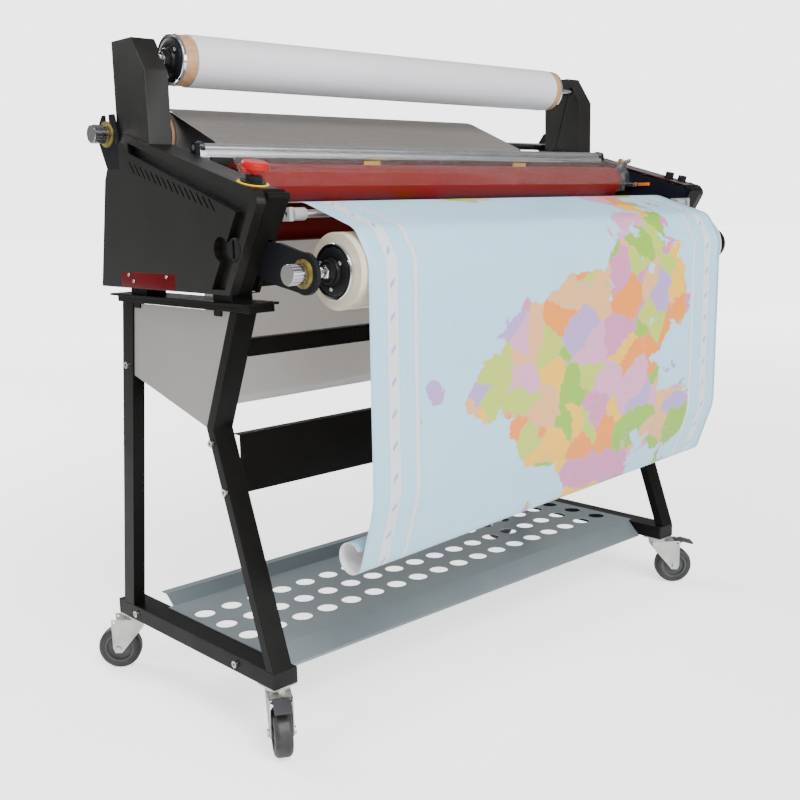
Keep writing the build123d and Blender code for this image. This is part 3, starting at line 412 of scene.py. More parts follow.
def wound_roll(name, centre, core_edge, film, board, radius_grain, roughness, **sockets):
    """Film wound on a cardboard core: the core shows brown, the film's ends show their turns."""
    finish = Finish(name, film, roughness, **sockets)
    reach = from_axis(finish, (0, *centre), (1, 0, 0))
    turns = finish.math("SINE", finish.math("MULTIPLY", reach, 5200.0))
    drift = finish.span(finish.noise(3.0, stretch=(0.6, 9.0, 9.0)), 0.3, 0.7, 0.93, 1.05)
    tone = finish.node("ShaderNodeCombineColor")
    for socket in tone.inputs[:3]:
        finish.link(drift, socket)
    film_colour = finish.mix(1.0, finish.colour, tone.outputs[0], "MULTIPLY")
    fibres = finish.span(finish.noise(140.0, stretch=(0.4, 1.0, 1.0)), 0.3, 0.7)
    board_colour = finish.mix(fibres, tuple(c * 0.8 for c in board), tuple(min(1, c * 1.15) for c in board))
    inner = finish.math("LESS_THAN", reach, core_edge)
    finish.colour = finish.mix(inner, film_colour, board_colour)
    finish.bump(turns, radius_grain, 0.0002)
    return finish.grain(500.0, 0.08, 0.0002).done()


def printed_sheet(name, ground, margin, half_width, length):
    """Pale print of irregular pastel patches inside a ruled margin."""
    finish = Finish(name, ground, 0.30, Specular_IOR_Level=0.25)
    uv = finish.node("ShaderNodeUVMap", uv_map="UVMap").outputs[0]
    split = finish.node("ShaderNodeSeparateXYZ")
    finish.link(uv, split.inputs[0])
    across, run = split.outputs[0], split.outputs[1]
    edge = finish.math("SUBTRACT", half_width, finish.math("ABSOLUTE", across))
    foot = finish.math("SUBTRACT", length, run)
    inset = finish.math("MINIMUM", edge, foot)

    warp = finish.node("ShaderNodeTexNoise")
    warp.inputs["Scale"].default_value = 7.0
    warp.inputs["Detail"].default_value = 9.0
    warp.inputs["Roughness"].default_value = 0.62
    finish.link(uv, warp.inputs["Vector"])
    centred = finish.vector("SUBTRACT", warp.outputs["Color"], (0.5, 0.5, 0.5))
    shift = finish.vector("MULTIPLY", centred, (0.16, 0.16, 0))
    bent = finish.vector("ADD", uv, shift)
    cells, borders = (finish.node("ShaderNodeTexVoronoi", feature=f) for f in ("F1", "DISTANCE_TO_EDGE"))
    for texture in (cells, borders):
        texture.inputs["Scale"].default_value = 15.0
        texture.inputs["Randomness"].default_value = 0.95
        finish.link(bent, texture.inputs["Vector"])
    hue = finish.node("ShaderNodeSeparateColor")
    finish.link(cells.outputs["Color"], hue.inputs[0])
    ramp = finish.node("ShaderNodeValToRGB")
    ramp.color_ramp.interpolation = "CONSTANT"
    stops = ramp.color_ramp.elements
    tints = (
        (0.52, 0.19, 0.36),
        (0.78, 0.44, 0.03),
        (0.36, 0.26, 0.52),
        (0.22, 0.42, 0.04),
        (0.74, 0.23, 0.035),
        (0.66, 0.36, 0.15),
        (0.58, 0.27, 0.43),
        (0.40, 0.50, 0.07),
    )
    stops[0].color = (*tints[0], 1)
    stops[1].position = 1 / len(tints)
    stops[1].color = (*tints[1], 1)
    for i in range(2, len(tints)):
        stops.new(i / len(tints)).color = (*tints[i], 1)
    finish.link(hue.outputs[0], ramp.inputs[0])
    seam = finish.math("LESS_THAN", borders.outputs["Distance"], 0.012)
    patches = finish.mix(finish.math("MULTIPLY", seam, 0.45), ramp.outputs[0], (0.42, 0.30, 0.36))

    island = finish.noise(2.3, 9.0, 0.58, place=finish.vector("ADD", uv, (3.1, 1.7, 0.0)))
    land = finish.math("GREATER_THAN", island, 0.515)
    shore = finish.math("MULTIPLY", finish.math("GREATER_THAN", island, 0.508), finish.math("SUBTRACT", 1.0, land))
    sea_tone = finish.span(finish.noise(3.0, 3.0, place=uv), 0.3, 0.7)
    sea = finish.mix(sea_tone, tuple(c * 0.95 for c in ground), tuple(min(1, c * 1.04) for c in ground))
    sea = finish.mix(finish.math("MULTIPLY", shore, 0.5), sea, (0.34, 0.52, 0.70))
    lines = None
    for part, pitch in ((across, 0.105), (run, 0.105)):
        thin = finish.math("LESS_THAN", finish.math("PINGPONG", part, pitch), 0.0006)
        lines = thin if lines is None else finish.math("MAXIMUM", lines, thin)
    sea = finish.mix(finish.math("MULTIPLY", lines, 0.35), sea, (0.35, 0.50, 0.66))
    field = finish.mix(land, sea, patches)
    specks = finish.node("ShaderNodeTexVoronoi")
    specks.inputs["Scale"].default_value = 120.0
    finish.link(uv, specks.inputs["Vector"])
    speck = finish.math("LESS_THAN", specks.outputs["Distance"], 0.11)
    chosen = finish.node("ShaderNodeSeparateColor")
    finish.link(specks.outputs["Color"], chosen.inputs[0])
    speck = finish.math("MULTIPLY", speck, finish.math("GREATER_THAN", chosen.outputs[0], 0.72))
    field = finish.mix(finish.math("MULTIPLY", speck, finish.math("MULTIPLY", land, 0.5)), field, (0.16, 0.12, 0.20))

    def band(low, high):
        """One inside a strip at a distance from the sheet's edges."""
        return finish.math("MULTIPLY", finish.math("GREATER_THAN", inset, low), finish.math("LESS_THAN", inset, high))

    colour = finish.mix(finish.math("GREATER_THAN", inset, 0.105), ground, field)
    colour = finish.mix(band(0.036, 0.062), colour, margin)
    colour = finish.mix(band(0.094, 0.105), colour, margin)
    ladder = finish.math("LESS_THAN", finish.math("PINGPONG", finish.math("ADD", across, run), 0.0262), 0.0042)
    tick = finish.math("MULTIPLY", ladder, band(0.044, 0.054))
    colour = finish.mix(finish.math("MULTIPLY", tick, 0.75), colour, (0.14, 0.28, 0.62))
    for place in (0.036, 0.062, 0.094, 0.105):
        rule = finish.math("MULTIPLY", band(place - 0.0006, place + 0.0006), 0.7)
        colour = finish.mix(rule, colour, (0.22, 0.40, 0.62))
    finish.colour = colour
    finish.polish(6.0, 0.05)
    return finish.grain(90.0, 0.05, 0.0006).done()


def coat(node, *materials):
    """Puts finishes in a CAD node's material slots."""
    mesh = NODES[node].data
    for i, material in enumerate(materials):
        if i < len(mesh.materials):
            mesh.materials[i] = material
        else:
            mesh.materials.append(material)


def soften(node, width, angle=38.0):
    """Rounds the sharp edges of a CAD node and shades it smoothly."""
    piece = NODES[node]
    mesh = piece.data
    if "custom_normal" in mesh.attributes:
        mesh.attributes.remove(mesh.attributes["custom_normal"])
    mesh.shade_smooth()
    weld = piece.modifiers.new("weld", "WELD")
    weld.merge_threshold = 0.00002
    bevel = piece.modifiers.new("soft edge", "BEVEL")
    bevel.width = width * MM
    bevel.segments = 2
    bevel.limit_method = "ANGLE"
    bevel.angle_limit = math.radians(angle)
    bevel.use_clamp_overlap = True
    normals = piece.modifiers.new("flat faces", "WEIGHTED_NORMAL")
    normals.keep_sharp = False
    normals.weight = 80


# ---------------------------------------------------------------- settings
def colour_setting(name, description, default):
    """A colour that a user can change."""
    return bpy.props.FloatVectorProperty(
        name=name, description=description, subtype="COLOR", size=3, min=0.0, max=1.0, default=default
    )


class LaminatorColours(bpy.types.PropertyGroup):
    """Colours of the machine and of what is loaded in it."""

    stand: colour_setting("Stand", "Powder coat of the stand", (0.0045, 0.0042, 0.0038))
    cabinet: colour_setting("Cabinets", "Side cabinets and towers", (0.0065, 0.0060, 0.0052))
    panel: colour_setting("Side panels", "Sheet panels in the side frames", (0.27, 0.255, 0.24))
    shelf: colour_setting("Shelf", "Perforated shelf", (0.19, 0.225, 0.24))
    silicone: colour_setting("Rollers", "Silicone cover of the nip rollers", (0.17, 0.010, 0.008))
    red_trim: colour_setting("Trim", "Service plates and deck trim", (0.085, 0.001, 0.003))
    stop: colour_setting("Stop button", "Mushroom head of the emergency stop", (0.36, 0.0025, 0.0025))
    yellow: colour_setting("Yellow parts", "Blank labels and the ring of the stop button", (0.80, 0.50, 0.004))
    white_film: colour_setting("Top roll", "Film wound on the top roll", (0.62, 0.62, 0.65))
    cream_film: colour_setting("Front roll", "Film wound on the front roll", (0.60, 0.55, 0.43))
    grey_film: colour_setting("Rear film", "Film on the rear roll and its web", (0.135, 0.122, 0.114))
    ground: colour_setting("Print ground", "Ground tone of the print", (0.36, 0.60, 0.76))
    margin: colour_setting("Print margin", "Margin strips of the print", (0.60, 0.64, 0.68))


class LaminatorSizes(bpy.types.PropertyGroup):
    """Sizes of the details added to the frame."""

    ripple: bpy.props.FloatProperty(
        name="Print ripple",
        description="How far the hanging print waves",
        default=0.004, min=0.0, max=0.012,
        unit="LENGTH",
    )
    print_skew: bpy.props.FloatProperty(
        name="Print skew",
        description="Rise of the middle of the print's foot",
        default=0.027, min=0.0, max=0.04,
        unit="LENGTH",
    )
    print_thickness: bpy.props.FloatProperty(
        name="Print thickness",
        description="Thickness of the print",
        default=0.0005, min=0.0002, max=0.0008,
        unit="LENGTH",
    )
    soft_edge: bpy.props.FloatProperty(
        name="Edge rounding", description="Rounding of sheet-metal edges, in millimetres", default=0.9, min=0.0, max=2.0
    )


# ---------------------------------------------------------------- operators
class StandFinishes(bpy.types.Operator):
    """Paints the stand, its panels and the shelf"""

    bl_idname = "laminator.stand"
    bl_label = "Stand"

    def execute(self, context):
        colours = context.scene.laminator_colours
        edge = context.scene.laminator_sizes.soft_edge
        black = powder_coat("stand black powder coat", colours.stand, 0.34)
        tubes = ("bottom_rails", "rear_legs", "front_legs", "top_rails", "upper_cross_rail")
        for node in (*tubes, "lower_cross_panel"):
            coat(node, black)
            soften(node, edge)
        plates = powder_coat("mounting plate black", tuple(c * 1.1 for c in colours.stand), 0.30)
        coat("mount_plates", plates)
        soften("mount_plates", 0.6)
        coat("plate_spacers", moulded("spacer rubber", (0.012, 0.012, 0.012), 0.7))
        coat("rail_end_caps", moulded("end cap plastic", (0.014, 0.014, 0.014), 0.5))
        panel = Finish("side panel satin grey", colours.panel, 0.46, Specular_IOR_Level=0.4)
        coat("infill_panels", panel.mottle(2.2, 0.06).polish(8.0, 0.05).grain(700.0, 0.12, 0.0002).done())
        shelf = Finish("shelf blue-grey metallic", colours.shelf, 0.36, 0.35)
        coat("shelf_tray", shelf.mottle(3.0, 0.10).polish(9.0, 0.06).grain(1200.0, 0.18, 0.0001).done())
        coat("stand_bolts", bare_metal("zinc bolt", (0.52, 0.52, 0.50), 0.30))
        coat("base_tie", powder_coat("base tie black", colours.stand, 0.45))
        return {"FINISHED"}


class CabinetFinishes(bpy.types.Operator):
    """Paints the side cabinets and towers, and adds their plates, screws and trim"""

    bl_idname = "laminator.cabinets"
    bl_label = "Cabinets"

    def execute(self, context):
        colours = context.scene.laminator_colours
        edge = context.scene.laminator_sizes.soft_edge
        shell = Finish("cabinet satin black", colours.cabinet, 0.34, Specular_IOR_Level=0.32)
        shell = shell.mottle(4.0, 0.14).polish(10.0, 0.06).grain(1100.0, 0.20, 0.0002).done()
        for node in ("left_casing", "right_casing", "towers"):
            coat(node, shell)
            soften(node, edge * 1.5)
        gloss = moulded("nose cover black", tuple(c * 0.6 for c in colours.cabinet), 0.5, 700.0, 0.06)
        coat("nose_covers", gloss)
        plate = powder_coat("side plate blue-black", (0.006, 0.007, 0.012), 0.42)
        for node in ("left_side_plate", "right_side_plate"):
            coat(node, plate)
            soften(node, 0.6)
        for node in ("film_arms", "rear_forks"):
            coat(node, powder_coat(node + " black", (0.008, 0.0085, 0.0105), 0.33))
            soften(node, 0.7)
        self.red_plates(colours)
        self.deck_trim(colours)
        return {"FINISHED"}

    def red_plates(self, colours):
        """Red service plates low on both cabinets, with their screws."""
        red = Finish("service plate red", colours.red_trim, 0.36, Specular_IOR_Level=0.12)
        red = red.mottle(12.0, 0.12).polish(30.0, 0.05).grain(900.0, 0.12, 0.0001).done()
        screw = bare_metal("plate screw", (0.55, 0.52, 0.48), 0.28)
        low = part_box("left_casing")[0]
        reach = abs(low[0])
        for side, name in ((-1, "left"), (1, "right")):
            origin = (side * (reach + 0.0002), middle("left_casing").y, low[2])
            across = (0, -side, 0)
            shift = -side * 86
            corners = [(shift - 92, 0.5), (shift + 92, 0.5), (shift + 92, 29), (shift - 92, 29)]
            rounded_plate(
                name + "_service_plate", corners, 1.2, origin, across, (0, 0, 1), red, "chassis", 4.0
            )
            for i, (run, rise) in enumerate(((62, 24), (-66, 24), (46, 13))):
                place = Vector(origin) + Vector((side * 0.0012, -side * (-side * run + shift) * MM, rise * MM))
                profile = [(0, 0.01), (0, 3.2), (side * 1.1, 2.9), (side * 1.5, 2.0), (side * 1.5, 1.4)]
                profile += [(side * 0.8, 1.3), (side * 0.8, 0.01)]
                turned(f"{name}_plate_screw_{i}", place, profile, screw, "chassis", 24)

    def deck_trim(self, colours):
        """Grey deck strip and red trim line on the right-hand cabinet."""
        strip = powder_coat("deck strip grey", (0.085, 0.085, 0.088), 0.35)
        line = moulded("deck trim red", colours.red_trim, 0.4)
        dial = joint_named("speed_dial_turn")
        normal = Vector(dial["axis"])
        along = normal.cross(Vector((1, 0, 0)))
        origin = Vector(dial["pos_m"])
        origin.x = 0.5905
        strip_edges, line_edges = (-24, 17), (-27.5, -25)
        for name, edges, ends, thickness, material, slot, radius, bevel in (
            ("right_deck_strip", strip_edges, (-62, -16), 0.5, strip, "tower_paint", 2.0, 0.1),
            ("right_deck_back_strip", strip_edges, (14, 232), 0.5, strip, "tower_paint", 2.0, 0.1),
            ("right_deck_trim", line_edges, (-60, 236), 1.4, line, "red_plastic", 0.8, 0.2),
        ):
            corners = oblong(*edges, *ends)
            rounded_plate(name, corners, thickness, origin, RIGHT, along, material, "chassis", radius, bevel)


class RollerFinishes(bpy.types.Operator):
    """Finishes the nip rollers and adds the lever beside them"""

    bl_idname = "laminator.rollers"
    bl_label = "Rollers"

    def execute(self, context):
        colours = context.scene.laminator_colours
        cover = Finish("red silicone", colours.silicone, 0.40, Specular_IOR_Level=0.12)
        cover = cover.mottle(3.0, 0.10).polish(7.0, 0.07, (0.4, 6.0, 6.0)).grain(500.0, 0.06, 0.0002).done()
        for node in ("lower_roller_sleeve", "upper_roller_sleeve"):
            coat(node, cover)
        steel = bare_metal("ground shaft steel", (0.62, 0.62, 0.63), 0.20, (0.3, 9.0, 9.0))
        for node in ("lower_roller_core", "upper_roller_core"):
            coat(node, steel)
        bronze = bare_metal("sintered bronze", (0.42, 0.27, 0.12), 0.42)
        coat("lower_bearings", bronze)
        coat("lift_blocks", bare_metal("lift block steel", (0.30, 0.30, 0.31), 0.38))
        soften("lift_blocks", 0.6)
        coat("gearmotor", moulded("gearmotor black", (0.02, 0.02, 0.02), 0.5))
        self.roller_lever(steel, bronze)
        return {"FINISHED"}

    def roller_lever(self, steel, bronze):
        """Plated lever and its pivot, which rise with the lift, and the liner tensioner on the side plate."""
        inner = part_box("right_side_plate")[0][0]
        depth, height = axis_place("upper_roller_spin")
        pivot = (inner - 0.0005, depth - 0.012, height + 0.046)
        outline = [(-30, -24), (-24, -30), (8, -4), (26, 4), (26, 12), (4, 8), (-10, -2)]
        place = (inner - 0.0035, depth - 0.016, height + 0.040)
        rounded_plate(
            "roller_release_lever", outline, 3.0, place, FORWARD, UP, steel, "lift", 2.0
        )
        boss = [(0, 0.01), (0, 7), (-5, 7), (-6, 6), (-6, 3), (-8, 3), (-8, 0.01)]
        turned("release_lever_pivot", pivot, boss, bronze, "lift", 32)
        orange = moulded("tensioner orange", (0.55, 0.16, 0.02), 0.4)
        place = (inner - 0.0002, depth - 0.028, height - 0.0125)
        for name, corners, thickness, material, slot in (
            ("liner_tension_block", oblong(0, 34, 0, 9), 9.0, steel, "zinc_steel"),
            ("liner_tension_tag", oblong(36, 64, 1, 8), 7.0, orange, "washer_yellow"),
        ):
            rounded_plate(name, corners, thickness, place, FORWARD, UP, material, "chassis", 1.5)


class ShieldFinishes(bpy.types.Operator):
    """Finishes the clear shield, its tube and the idler bar, and adds labels and springs"""

    bl_idname = "laminator.shield"
    bl_label = "Shield and idler"

    def execute(self, context):
        colours = context.scene.laminator_colours
        drawn = bare_metal("drawn aluminium", (0.56, 0.57, 0.59), 0.30, (0.25, 12.0, 12.0), 0.2)
        for node in ("shield_beam", "front_idler_bar"):
            coat(node, drawn)
        clear = {"IOR": 1.3, "Transmission_Weight": 0.98, "Alpha": 0.35}
        acrylic = Finish("clear acrylic", (0.93, 0.93, 0.94), 0.05, **clear)
        coat("clear_shield", acrylic.grain(6.0, 0.03, 0.0006).done())
        pale = moulded("idler bracket grey", (0.30, 0.31, 0.32), 0.4)
        coat("idler_brackets", pale)
        soften("idler_brackets", 1.2)
        label = Finish("blank yellow label", colours.yellow, 0.45)
        label = label.mottle(30.0, 0.08).grain(500.0, 0.05, 0.0001).done()
        depth, height = axis_place("shield_swing")
        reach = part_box("clear_shield")[1][0]
        dark = moulded("shield strip black", (0.010, 0.008, 0.008), 0.4)
        ahead = depth - 0.0132
        strip = oblong(-reach / MM, reach / MM, -34, -16)
        place = (0, ahead, height)
        rounded_plate("shield_dark_strip", strip, 0.8, place, RIGHT, UP, dark, "shield", 0.8, 0.1)
        for i, x in enumerate((-0.178, 0.256)):
            place, corners = (x, ahead - 0.0009, height), oblong(-21, 21, -38, -20)
            name = f"shield_label_{i}"
            rounded_plate(name, corners, 0.3, place, RIGHT, UP, label, "shield", 1.0, 0.0)
        spring = bare_metal("spring steel", (0.10, 0.10, 0.10), 0.3)
        for name, x in (("left", -0.5625), ("right", 0.5525)):
            wire_coil(name + "_shield_spring", (x, depth, height), 9.4, 0.9, 2.4, 4, spring, "shield")
        depth, height = axis_place("idler_spin")
        for name, x in (("left", -0.552), ("right", 0.524)):
            collar = [(0, 6.6), (0, 9.0), (1.5, 10.2), (24, 10.2), (26, 9.0), (26, 6.6)]
            turned(name + "_idler_collar", (x, depth, height), collar, pale, "idler", 40)
        return {"FINISHED"}


class FilmRolls(bpy.types.Operator):
    """Finishes the shafts and the film rolls, and adds the chuck cups: plated on the left, black on the right as
    painted shade
    """

    bl_idname = "laminator.film_rolls"
    bl_label = "Film rolls and shafts"

    def execute(self, context):
        colours = context.scene.laminator_colours
        board = (0.42, 0.24, 0.12)
        core_edge = 0.04365
        pale_board = (0.62, 0.56, 0.42)
        glossy = {"Subsurface_Weight": 0.15, "Coat_Weight": 0.3}
        for name, tone, film, tube, relief, dullness, sockets in (
            ("top", "white", colours.white_film, board, 0.1, 0.42, {}),
            ("front", "cream", colours.cream_film, pale_board, 0.2, 0.26, glossy),
            ("rear", "grey", colours.grey_film, board, 0.1, 0.36, {}),
        ):
            place = axis_place(name + "_film_spin")
            words = tone + " film roll"
            coat(name + "_roll", wound_roll(words, place, core_edge, film, tube, relief, dullness, **sockets))
        plated = bare_metal("bright plated steel", (0.70, 0.70, 0.71), 0.09, (0.5, 8.0, 8.0), 0.05)
        # Black of the jaws and hubs, also put on the right-hand cups as painted shade.
        dark = moulded("chuck black", (0.010, 0.010, 0.011), 0.34)
        for node in ("front_shaft", "top_shaft", "rear_shaft"):
            coat(node, plated)
        knob = bare_metal("fluted knob alloy", (0.46, 0.45, 0.44), 0.16, (0.5, 8.0, 8.0), 0.1)
        for node in ("front_tension_knob", "rear_tension_knob"):
            coat(node, knob)
        washer = Finish("friction washer", (0.26, 0.20, 0.055), 0.36, 0.55)
        coat("brake_washers", washer.mottle(60.0, 0.5).polish(60.0, 0.1).grain(300.0, 0.3, 0.0003).done())
        flange = 0.005
        for name in ("top", "front", "rear"):
            body = name + "_film"
            depth, height = axis_place(body + "_spin")
            for side, word, end in zip((-1, 1), ("left", "right"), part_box(name + "_roll")):
                place = (end[0] + side * flange, depth, height)
                self.chuck(name + "_" + word, place, side, body, plated, dark)
        for node in ("front", "rear"):
            self.knob_screw(node, plated)
        return {"FINISHED"}

    def chuck(self, name, place, side, body, plated, dark):
        """Cup, black jaws and a stepped hub outside the core; the left cup is plated, the right cup is black as painted
        shade.
        """
        cup = [(0, 38), (0, 43.8), (side * 1.6, 44.4), (side * 2.4, 43.6), (side * 1.0, 38)]
        # Right-hand cups take the black chuck finish instead of plating: painted shade on that end of each roll.
        rim = plated if side < 0 else dark
        turned(name + "_chuck_rim", place, cup, rim, body, 72)
        face = [(side * 0.2, 10), (side * 0.2, 37.8), (side * 3, 37), (side * 5, 30), (side * 4, 22), (side * 9, 20)]
        turned(name + "_chuck_face", place, face + [(side * 9, 10)], dark, body, 64)
        hub = [(side * 9, 9.3), (side * 9, 18), (side * 11, 19), (side * 13, 19), (side * 14.5, 17.5)]
        turned(name + "_chuck_hub", place, hub + [(side * 14.5, 9.3)], dark, body, 48)
        nut = [(side * 14.5, 9.3), (side * 14.5, 12.5), (side * 19, 12.5), (side * 20, 11.5), (side * 20, 9.3)]
        turned(name + "_chuck_nut", place, nut, plated, body, 6)
        for i in range(3):
            angle = math.tau * i / 3 + 0.5
            spot = Vector(place) + Vector((side * 0.005, 0.027 * math.cos(angle), 0.027 * math.sin(angle)))
            head = [(-side * 3, 0.01), (-side * 3, 3.4), (side * 1.6, 3.4), (side * 2.2, 2.8)]
            head += [(side * 2.2, 1.6), (side * 1.0, 1.5), (side * 1.0, 0.01)]
            turned(f"{name}_chuck_screw_{i}", spot, head, plated, body, 20)

    def knob_screw(self, node, plated):
        """Set screw in the end of a tension knob."""
        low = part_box(node + "_tension_knob")[0]
        depth, height = axis_place(node + "_tension_turn")
        start = (low[0], depth, height)
        profile = [(0.02, 0.01), (0.02, 5.0), (0.5, 6.2), (0.5, 8.8), (1.9, 8.9), (1.9, 0.01)]
        turned(node + "_knob_screw", start, profile, plated, node + "_tension", 40)


class CasterFinishes(bpy.types.Operator):
    """Finishes the casters, with a separate look for each tread and hub"""

    bl_idname = "laminator.casters"
    bl_label = "Casters"

    def execute(self, context):
        zinc = Finish("caster zinc plate", (0.50, 0.51, 0.48), 0.34, 0.9)
        zinc = zinc.mottle(35.0, 0.16).polish(50.0, 0.09).grain(300.0, 0.12, 0.0003).done()
        coat("caster_heads", zinc)
        for corner in CORNERS:
            coat("caster_fork_" + corner, zinc)
            soften("caster_fork_" + corner, 0.6)
            joint = joint_named("roll_" + corner)
            tread = Finish("caster wheel " + corner.replace("_", " "), (0.012, 0.012, 0.013), 0.48)
            reach = from_axis(tread, joint["pos_m"], joint["axis"])
            rubber = tread.mix(tread.span(tread.noise(40.0), 0.3, 0.7), (0.010, 0.010, 0.010), (0.030, 0.029, 0.028))
            hub = tread.mix(tread.span(tread.noise(30.0), 0.3, 0.7), (0.045, 0.047, 0.05), (0.075, 0.078, 0.08))
            tread.colour = tread.mix(tread.math("LESS_THAN", reach, 0.0301), rubber, hub)
            coat("caster_wheel_" + corner, tread.polish(60.0, 0.10).grain(240.0, 0.25, 0.0004).done())
        pedal = moulded("pedal grey", (0.05, 0.05, 0.055), 0.42)
        for corner in CORNERS[:2]:
            coat("brake_pedal_" + corner, pedal)
            soften("brake_pedal_" + corner, 0.8)
        return {"FINISHED"}


class Controls(bpy.types.Operator):
    """Finishes the emergency stop, the knobs and the button"""

    bl_idname = "laminator.controls"
    bl_label = "Controls"

    def execute(self, context):
        colours = context.scene.laminator_colours
        stop = Finish("stop head red", colours.stop, 0.26, Specular_IOR_Level=0.2)
        coat("estop_head", stop.mottle(20.0, 0.06).grain(200.0, 0.03, 0.0002).done())
        black = moulded("control black", (0.012, 0.012, 0.013), 0.36)
        for node in ("estop_base", "speed_knob", "direction_knob", "pressure_knob"):
            coat(node, black)
        coat("run_button", moulded("run button grey", (0.04, 0.04, 0.042), 0.4))
        joint = joint_named("estop_press")
        ring = [(0.1, 21.2), (0.1, 25.5), (0.9, 25.5), (1.3, 24.9), (1.3, 21.2)]
        yellow = moulded("stop ring yellow", colours.yellow, 0.4, 900.0, 0.08)
        up = -Vector(joint["axis"])
        turned("stop_button_ring", joint["pos_m"], ring, yellow, "chassis", 64, up)
        for name in ("speed", "direction"):
            dial = joint_named(name + "_dial_turn")
            normal = Vector(dial["axis"])
            top = Vector(dial["pos_m"]) + normal * 0.0138
            along, body = normal.cross(Vector(RIGHT)), name + "_dial"
            mark = moulded(name + " knob mark", (0.6, 0.6, 0.6), 0.4)
            line = oblong(-0.5, 0.5, 1.5, 8.2)
            rounded_plate(name + "_knob_mark", line, 0.25, top, RIGHT, along, mark, body, 0.3, 0.0)
        return {"FINISHED"}


class FilmWebs(bpy.types.Operator):
    """Builds the print that runs through the machine and the film web behind it"""

    bl_idname = "laminator.webs"
    bl_label = "Print and film web"

    def execute(self, context):
        self.print_sheet(context)
        self.rear_web(context)
        return {"FINISHED"}

    def print_sheet(self, context):
        """The print: tail, nip, idler, hanging length and the curl at its foot."""
        colours = context.scene.laminator_colours
        sizes = context.scene.laminator_sizes
        low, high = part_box("print_sheet")
        nip_y, nip_z = nip_place()
        front_y = nip_y - NIP_SETBACK
        tail_y = front_y + 0.300
        hang_y = front_y - 0.162
        base = nip_z - NIP_RISE
        points = [
            (tail_y, base - 0.230),
            (tail_y, nip_z),
            (front_y - 0.005, nip_z),
            (front_y - 0.132, base + 0.103),
            (hang_y, base + 0.052),
            (hang_y + 0.004, base - 0.335),
            (hang_y + 0.040, base - 0.446),
        ]
        path = rounded_path(points, (0.075, 0.060, 0.038, 0.038, 0.150))
        way = (path[-1] - path[-2]).normalized()
        place = path[-1].copy()
        turn = 0.0
        step = math.radians(8)
        whole_curl = math.radians(300)
        while turn < whole_curl:
            radius = 0.0292 - 0.0042 * turn / whole_curl
            way = Matrix.Rotation(step, 2) @ way
            place = place + way * (radius * step)
            path.append(place.copy())
            turn += step
        half = (high[0] - low[0]) / 2

        def wave(x, run):
            hang = ramp(run, 1.05, 1.50)
            slow = noise.noise(Vector((x * 2.2, run * 1.6, 4.0)))
            cross = math.sin(x * 5.3 + 0.6) * 0.5
            push = sizes.ripple * hang * (slow + cross)
            tail = ramp(run, 0.30, 0.0)
            rise = sizes.print_skew * ramp(run, 0.95, 1.50) * (1 + x / half)
            return Vector((0, push + 0.008 * tail * math.sin(x * 4.0), rise))

        profile = [(p.x, p.y) for p in path]
        length = sum(math.dist(a, b) for a, b in zip(profile, profile[1:]))
        printed = printed_sheet("pastel print", colours.ground, colours.margin, half, length)
        reverse = Finish("print reverse", (0.80, 0.80, 0.80), 0.35, Subsurface_Weight=0.1)
        reverse = reverse.mottle(2.0, 0.04).grain(120.0, 0.05, 0.0004).done()
        piece, length = swept_band("print", profile, (-half, half), reverse, "chassis", wave)
        piece.data.materials.append(printed)
        thick = piece.modifiers.new("thickness", "SOLIDIFY")
        thick.thickness = sizes.print_thickness
        thick.offset = 0.0
        thick.material_offset = 1
        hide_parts("print_sheet")

    def rear_web(self, context):
        """Film drawn from the rear roll down to the upper roller."""
        colours = context.scene.laminator_colours
        low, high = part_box("rear_web")
        roll_y, roll_z = axis_place("rear_film_spin")
        lean = math.radians(23.5)
        nip_y, nip_z = nip_place()
        front_y = nip_y - NIP_SETBACK
        base = nip_z - NIP_RISE
        reach = 0.0507
        start = (roll_y - reach * math.sin(lean), roll_z + reach * math.cos(lean))
        turn_y = front_y + 0.231
        turn = (turn_y, start[1] - (start[0] - turn_y) * math.tan(lean))
        end = (front_y + 0.190, base + 0.203)
        path = rounded_path([start, turn, end], (0.008,), 0.002)
        web = Finish("grey film", colours.grey_film, 0.30, Specular_IOR_Level=0.5)
        web = web.mottle(2.5, 0.10).polish(4.0, 0.08, (0.5, 5.0, 5.0)).grain(30.0, 0.08, 0.0008).done()
        profile = [(p.x, p.y) for p in path]
        piece, length = swept_band("film_web", profile, (low[0], high[0]), web, "chassis")
        thick = piece.modifiers.new("thickness", "SOLIDIFY")
        thick.thickness = 0.0004
        thick.offset = 0.0
        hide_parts("rear_web")


